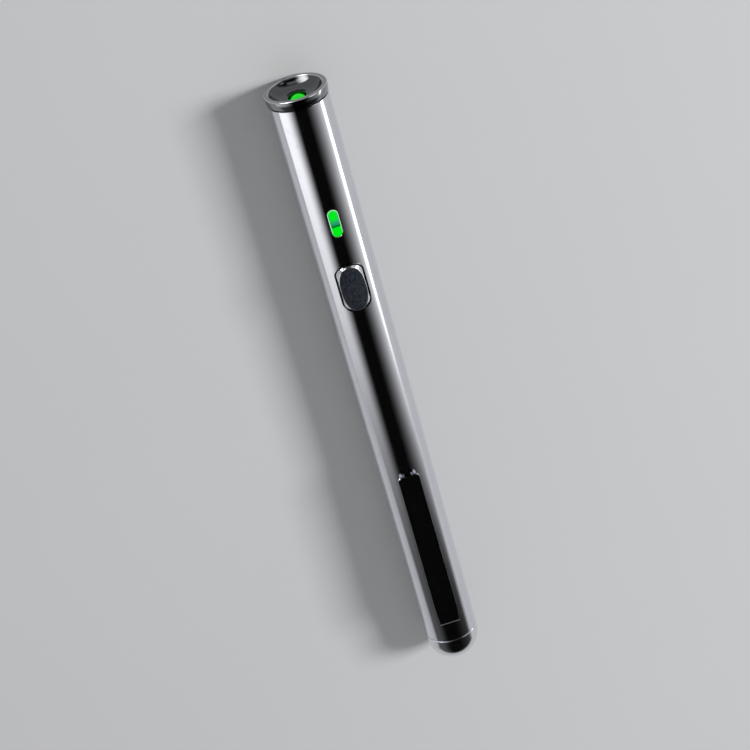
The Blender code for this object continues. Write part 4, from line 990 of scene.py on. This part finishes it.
def build_button(looks):
    sizes = looks.button
    behind = sizes.place
    shoulder = looks.barrel.radius + 0.05 * MM
    crown = looks.barrel.radius + sizes.proud
    floor, bottom = crown - 0.4 * MM, 4.73 * MM
    lips_bottom, lips_top = 4.13 * MM, 4.93 * MM
    lips_length, lips_width, lips_corner = 6.4 * MM, 2.0 * MM, 0.3 * MM
    soft, groove = 0.07 * MM, 0.06 * MM
    land = ((0.15 * MM, -0.05 * MM), (0.12 * MM, -0.01 * MM), (0.09 * MM, 0), (groove, -0.05 * MM))

    def key_outline(inwards):
        return rounded_rectangle(
            sizes.length / 2 - inwards, sizes.width / 2 - inwards, sizes.corner - inwards
        )

    def oval(inwards):
        half_length, half_width = sizes.pad_length / 2 - inwards, sizes.pad_width / 2 - inwards
        return towards(key_outline(0), half_length, half_width)

    key = loft([
        level(key_outline(0), behind, bottom),
        wrapped(key_outline(0), behind, shoulder, -soft),
        wrapped(key_outline(soft), behind, shoulder, soft * 0.4),
        *[wrapped(oval(-out), behind, crown, lift) for out, lift in land],
        wrapped(oval(-groove), behind, floor),
        *[wrapped(scaled(oval(0), factor), behind, floor) for factor in (0.75, 0.5, 0.25)],
        [(FRONT - behind, 0, AXIS + floor)],
    ])
    plate = rounded_rectangle(lips_length, lips_width, lips_corner)
    lips = loft([level(plate, behind, lips_bottom), level(plate, behind, lips_top)])
    key.from_mesh(finished(lips, bpy.data.meshes.new("lips")))
    finish = bpy.data.materials["polished_chrome"]
    add_piece("button_key", key, finish, "button", "button_cap")

    top, edge, bed = crown + 0.06 * MM, 0.12 * MM, floor + 0.1 * MM
    rings = [wrapped(oval(0), behind, bed), *rounded_edge(oval, behind, top, edge, 4)]
    for factor in (0.93, 0.85, 0.75, 0.65, 0.55, 0.45, 0.35, 0.25, 0.15):
        sunk = sizes.dish * (1 - factor**2)
        rings.append(wrapped(scaled(oval(edge), factor), behind, top, -sunk))
    rings.append([(FRONT - behind, 0, AXIS + top - sizes.dish)])
    finish = slate_inlay("slate_inlay", looks.tones.slate, (FRONT - behind, 0, AXIS + top))
    add_piece("button_inlay", loft(rings), finish, "button", "button_pad")


def clip_path(looks):
    """Middle line of the strip, as (forward of the root, height, direction) points."""
    sizes, barrel = looks.clip, looks.barrel.radius
    half = sizes.thickness / 2
    bend, land, toe, lift = sizes.bend, sizes.land, sizes.toe, sizes.lift
    inside, clear = 1.0 * MM, 0.3 * MM
    bend_steps, arm_steps, toe_steps, tip_steps = 12, 48, 8, 16
    high, low = barrel + sizes.rise + half, barrel + clear + half
    path = [(0, barrel - inside, QUARTER), (0, barrel + clear, QUARTER)]
    for i in range(bend_steps + 1):
        turn = QUARTER * i / bend_steps
        path.append((bend * (1 - math.cos(turn)), high - bend * (1 - math.sin(turn)), QUARTER - turn))
    arm = sizes.length - bend - land - toe
    fall = high - low
    for i in range(1, arm_steps + 1):
        part = i / arm_steps
        slope = -fall / arm * 6 * part * (1 - part)
        path.append((bend + arm * part, high - fall * part * part * (3 - 2 * part), math.atan(slope)))
    toe_start = bend + arm + land
    path.append((toe_start, low, 0))
    corner = 1 - sizes.corner / toe
    parts = [corner * i / toe_steps for i in range(1, toe_steps + 1)]
    for i in range(1, tip_steps + 1):
        parts.append(corner + (1 - corner) * math.sin(QUARTER * i / tip_steps))
    for part in parts:
        slope = 2 * lift / toe * part
        path.append((toe_start + toe * part, low + lift * part**2, math.atan(slope)))
    return path


def clip_half_width(sizes, forward):
    """Half the width of the strip above the tube. Its tip has round corners."""
    peak, corner = sizes.widest_from, sizes.corner
    if forward < peak:
        swell = math.sin(QUARTER * forward / peak)
        width = sizes.root_width + (sizes.widest - sizes.root_width) * swell
    else:
        taper = (forward - peak) / (sizes.length - peak)
        width = sizes.widest + (sizes.tip_width - sizes.widest) * taper
    into = max(0, forward - (sizes.length - corner))
    return width / 2 - corner + math.sqrt(max(corner**2 - into**2, 0))


def clip_section(point, half_width, sizes):
    """The strip's cross-section with round edges, square to its path."""
    forward, height, direction = point
    section = rounded_rectangle(half_width, sizes.thickness / 2, sizes.edge, steps=5, sides=4)
    lean = (-math.sin(direction), math.cos(direction))
    start = FRONT - sizes.root + forward
    return [(start + lean[0] * up, across, AXIS + height + lean[1] * up) for across, up in section]


def build_clip(looks):
    sizes = looks.clip
    path, leg = clip_path(looks), 1.8 * MM
    rings = [clip_section(point, leg, sizes) for point in path[:2]]
    rings += [clip_section(point, clip_half_width(sizes, point[0]), sizes) for point in path[1:]]
    finish = polished_metal("clip_steel", looks.tones.clip, 0.10, (0.08, 5.0, 5.0))
    add_piece("spring_clip", loft(rings), finish, "clip", "pocket_clip")


def build_tail_cap(looks):
    sizes, radius = looks.tail, looks.barrel.radius
    start, hollow_end, edge, inner_edge = 149.95 * MM, 157.05 * MM, 0.12 * MM, 0.3 * MM
    thread_start, thread_end, seal = start + 0.1 * MM, 152.9 * MM, 153.5 * MM
    dome = [(sizes.dome + along, out) for along, out in arc((0, 0), radius, 90, 0, 40)]
    profile = [
        (hollow_end, 0),
        (hollow_end, sizes.bore),
        (start + edge, sizes.bore),
        (start, sizes.bore + edge),
        (start, sizes.spigot - inner_edge),
        *thread(thread_start, thread_end, sizes.spigot, sizes.thread, sizes.pitch),
        *seal_groove(seal, sizes.spigot),
        (sizes.seam, sizes.spigot),
        *lip(sizes.seam, radius, edge),
        *dome[:-1],
        (sizes.dome + radius, 0),
    ]
    finish = bpy.data.materials["polished_chrome"]
    mesh = loft(turned(profile))
    piece = add_piece("round_tail", mesh, finish, "tail_cap", "tail_cap")
    round_off(piece.data)


def set_camera():
    """The photograph's view: from over the front end, looking back along the pointer."""
    data = bpy.data.cameras.new("camera")
    data.lens = 83.96
    data.sensor_width = 36
    data.clip_start = 0.01
    data.clip_end = 50
    camera = add_object("camera", data)
    back = Vector((0.5405, 0.0278, 0.8409)).normalized()
    right = Vector((-0.23414, -0.95500, 0.18207)).normalized()
    up = back.cross(right).normalized()
    camera.matrix_world = Matrix((up.cross(back), up, back)).transposed().to_4x4()
    camera.location = (0.228375, 0.0120, 0.3514)
    bpy.context.scene.camera = camera


def set_world(studio):
    """Long softboxes at both sides under a dark ceiling, a pale backdrop, and even light for the rest.

    The turn of a direction is its angle round the pointer, 0 straight up and more to the left. Each
    softbox fades towards the tail. Polished things see the softboxes, and the backdrop up to its top."""
    world = bpy.data.worlds.new("studio")
    bpy.context.scene.world = world
    nodes = Nodes(world)
    x, y, z = nodes.axes(nodes.node("TexCoord", output="Generated"))
    turn = nodes.math("ARCTAN2", y, z) * (180 / math.pi)

    def fading(low, high):
        """1 over most of a softbox, and what is left of it towards the tail."""
        return x.ramp(low, high) * (1 - studio.dim) + studio.dim

    top, foot = -12, -100
    rise = nodes.math("MAXIMUM", (top - turn) / (top - foot), 0.0)
    beside = nodes.math("MINIMUM", rise**2.0, 1.0) * x.ramp(0.05, -0.25)
    beside = beside + turn.ramp(-74, -88) * studio.core * x.hill(-0.55, -0.44, 0.3, 0.6)
    ahead = y.ramp(-0.42, -0.62) * z.hill(0.25, 0.45, 0.7, 0.84) * x.hill(-0.25, 0.05, 0.6, 0.85)
    right = (beside + ahead) * fading(-0.66, -0.49)
    left = turn.ramp(22, 66) * x.ramp(0.10, -0.12) * fading(-0.645, -0.40)
    front = y.hill(0.12, 0.6, 0.76, 0.88) * z.hill(0.0, 0.1, 0.5, 0.62) * x.ramp(0.56, 0.7)
    over = abs(y).ramp(0.45, 0.2) * 0.6 * z.hill(0.2, 0.3, 0.46, 0.56) * x.ramp(0.5, 0.7)
    softboxes = nodes.math("MAXIMUM", right * studio.right_band, left * studio.left_band)
    softboxes = nodes.math("MAXIMUM", softboxes, front * studio.front_box + over)
    lit = nodes.node("CombineXYZ", inputs={0: softboxes, 1: softboxes, 2: softboxes})
    ceiling = (0.0005,) * 3
    backdrop = nodes.mix(ceiling, studio.backdrop, z.ramp(0.28, 0.0))
    rays = nodes.node("LightPath", output="Is Camera Ray")
    even = (studio.sky,) * 3
    seen = nodes.mix(even, nodes.vector("MAXIMUM", lit, backdrop), rays.also("Is Glossy Ray"))
    plain = nodes.math("MAXIMUM", rays, rays.also("Is Transmission Ray"))
    light = nodes.node("Background", inputs={"Color": nodes.mix(seen, studio.backdrop, plain)})
    nodes.node("OutputWorld", inputs={"Surface": light})


def pale_floor(name, color):
    """Matt pale floor with a barely visible drift in tone."""
    nodes = Finish(name)
    drift = nodes.noise(0.01, 3.0)
    return nodes.surface(
        Base_Color=nodes.mix(color, darker(color, 0.97), drift),
        Roughness=0.85 + drift * 0.1,
        Specular_IOR_Level=0.0,
    )


def set_floor(studio):
    mesh = bmesh.new()
    bmesh.ops.create_circle(mesh, cap_ends=True, segments=96, radius=6.0)
    floor = add_object("floor", finished(mesh, bpy.data.meshes.new("floor")))
    floor.data.materials.append(pale_floor("pale_floor", studio.floor))


def set_key_lamp(studio):
    """A large soft lamp at the right. Shiny things don't see it, since they see the softboxes."""
    data = bpy.data.lights.new("key_lamp", "AREA")
    data.energy = studio.key
    data.size = 0.5
    lamp = add_object("key_lamp", data)
    lamp.location = (0.20, -1.40, 1.00)
    lamp.rotation_mode = "QUATERNION"
    lamp.rotation_quaternion = lamp.location.to_track_quat("Z", "Y")
    lamp.visible_glossy = False


class POINTER_OT_barrel(bpy.types.Operator):
    """Build the polished tube with its three openings"""

    bl_idname = "pointer.barrel"
    bl_label = "Barrel"

    def execute(self, context):
        build_barrel(context.scene.looks)
        return {"FINISHED"}


class POINTER_OT_bezel(bpy.types.Operator):
    """Build the dished ring at the front"""

    bl_idname = "pointer.bezel"
    bl_label = "Front Bezel"

    def execute(self, context):
        build_bezel(context.scene.looks)
        return {"FINISHED"}


class POINTER_OT_lens(bpy.types.Operator):
    """Build the domed green lens in the dish"""

    bl_idname = "pointer.lens"
    bl_label = "Front Lens"

    def execute(self, context):
        build_lens(context.scene.looks)
        return {"FINISHED"}


class POINTER_OT_window(bpy.types.Operator):
    """Build the green window over the two lamps"""

    bl_idname = "pointer.window"
    bl_label = "Indicator Window"

    def execute(self, context):
        build_window(context.scene.looks)
        return {"FINISHED"}


class POINTER_OT_button(bpy.types.Operator):
    """Build the metal key and its inlaid pad"""

    bl_idname = "pointer.button"
    bl_label = "Button"

    def execute(self, context):
        build_button(context.scene.looks)
        return {"FINISHED"}


class POINTER_OT_clip(bpy.types.Operator):
    """Build the spring clip"""

    bl_idname = "pointer.clip"
    bl_label = "Pocket Clip"

    def execute(self, context):
        build_clip(context.scene.looks)
        return {"FINISHED"}


class POINTER_OT_tail_cap(bpy.types.Operator):
    """Build the round tail cap with its thread"""

    bl_idname = "pointer.tail_cap"
    bl_label = "Tail Cap"

    def execute(self, context):
        build_tail_cap(context.scene.looks)
        return {"FINISHED"}


class POINTER_OT_seals(bpy.types.Operator):
    """Finish the two rubber seals"""

    bl_idname = "pointer.seals"
    bl_label = "Seals"

    def execute(self, context):
        refinish(matt_rubber("seal_rubber"), "bezel_seal", "tail_seal")
        return {"FINISHED"}


class POINTER_OT_laser(bpy.types.Operator):
    """Finish the laser module with its optics, crystal and diode"""

    bl_idname = "pointer.laser"
    bl_label = "Laser Module"

    def execute(self, context):
        tones = context.scene.looks.tones
        refinish(turned_metal("turned_brass", tones.brass, 0.22), "module_housing", "diode_clamp")
        refinish(turned_metal("retainer_brass", tones.brass, 0.26, 0.2), "lens_retainer")
        refinish(turned_metal("mount_copper", tones.copper, 0.25, 0.18, 0.8), "crystal_mount")
        refinish(turned_metal("diode_gold", tones.gold, 0.16, 0.3, 0.15), "pump_diode")
        optics = (
            ("expander_lens", (0.85, 0.95, 0.90)),
            ("infrared_filter", (0.70, 0.90, 0.95)),
            ("crystal_block", (0.80, 0.86, 0.98)),
        )
        for node, color in optics:
            refinish(clear_glass(node, color), node)
        return {"FINISHED"}


class POINTER_OT_board(bpy.types.Operator):
    """Finish the driver board, its tray and the parts on it"""

    bl_idname = "pointer.board"
    bl_label = "Driver Board"

    def execute(self, context):
        tones = context.scene.looks.tones
        refinish(board_laminate("board_laminate", tones.mask), "driver_board")
        refinish(moulded_plastic("tray_plastic", (0.025, 0.025, 0.028), 0.42), "board_tray")
        refinish(moulded_plastic("chip_plastic", (0.018, 0.018, 0.020), 0.50, 9.0), "driver_chip")
        refinish(drawn_can("capacitor"), "capacitor")
        for node in ("resistor_front", "resistor_rear", "boost_coil"):
            refinish(fired_ceramic(node), node)
        for node in ("lamp_front", "lamp_rear"):
            refinish(lamp_epoxy(node, tones.glow), node)
        return {"FINISHED"}


class POINTER_OT_switch(bpy.types.Operator):
    """Finish the switch and its plunger"""

    bl_idname = "pointer.switch"
    bl_label = "Switch"

    def execute(self, context):
        refinish(moulded_plastic("switch_plastic", (0.03, 0.03, 0.034), 0.45), "switch_body")
        refinish(moulded_plastic("plunger_plastic", (0.75, 0.74, 0.70), 0.40, 8.0), "switch_plunger")
        return {"FINISHED"}


class POINTER_OT_cells(bpy.types.Operator):
    """Finish the two cells"""

    bl_idname = "pointer.cells"
    bl_label = "Cells"

    def execute(self, context):
        sleeve = context.scene.looks.tones.sleeve
        for node in ("front_cell", "rear_cell"):
            refinish(cell_sleeve(node, sleeve), node)
        return {"FINISHED"}


class POINTER_OT_contacts(bpy.types.Operator):
    """Finish the springs, the tail contact and the bulkhead"""

    bl_idname = "pointer.contacts"
    bl_label = "Contacts and Springs"

    def execute(self, context):
        tones = context.scene.looks.tones
        refinish(turned_metal("spring_gold", tones.gold, 0.18, 0.5, 0.2), "front_spring", "tail_spring")
        refinish(turned_metal("contact_brass", tones.brass, 0.24, 0.25), "tail_contact")
        refinish(moulded_plastic("bulkhead_plastic", (0.72, 0.71, 0.67), 0.38), "contact_bulkhead")
        return {"FINISHED"}


class POINTER_OT_stage(bpy.types.Operator):
    """Set the floor, the light and the camera"""

    bl_idname = "pointer.stage"
    bl_label = "Studio"

    def execute(self, context):
        studio = context.scene.looks.studio
        set_floor(studio)
        set_world(studio)
        set_key_lamp(studio)
        set_camera()
        context.scene.view_settings.view_transform = "Standard"
        return {"FINISHED"}


BUILDERS = (
    POINTER_OT_barrel,
    POINTER_OT_bezel,
    POINTER_OT_lens,
    POINTER_OT_window,
    POINTER_OT_button,
    POINTER_OT_clip,
    POINTER_OT_tail_cap,
    POINTER_OT_seals,
    POINTER_OT_laser,
    POINTER_OT_board,
    POINTER_OT_switch,
    POINTER_OT_cells,
    POINTER_OT_contacts,
    POINTER_OT_stage,
)


class POINTER_PT_looks(bpy.types.Panel):
    """Lists the operators and the values that they use"""

    bl_idname = "POINTER_PT_looks"
    bl_label = "Laser Pointer"
    bl_space_type = "VIEW_3D"
    bl_region_type = "UI"
    bl_category = "Pointer"

    def draw(self, context):
        column = self.layout.column()
        for builder in BUILDERS:
            column.operator(builder.bl_idname)
        for group in Looks.__annotations__:
            values = getattr(context.scene.looks, group)
            box = self.layout.box()
            box.label(text=group.title())
            for name in values.__annotations__:
                box.prop(values, name)


SIZES = (BarrelSizes, BezelSizes, LensSizes, WindowSizes, ButtonSizes, ClipSizes, TailSizes)
CLASSES = (*SIZES, Tones, Studio, Looks, *BUILDERS, POINTER_PT_looks)


def register():
    for added in CLASSES:
        bpy.utils.register_class(added)
    bpy.types.Scene.looks = PointerProperty(type=Looks)


def unregister():
    del bpy.types.Scene.looks
    for added in reversed(CLASSES):
        bpy.utils.unregister_class(added)


def main():
    register()
    for builder in BUILDERS:
        group, name = builder.bl_idname.split(".")
        getattr(getattr(bpy.ops, group), name)()


if __name__ == "__main__":
    main()
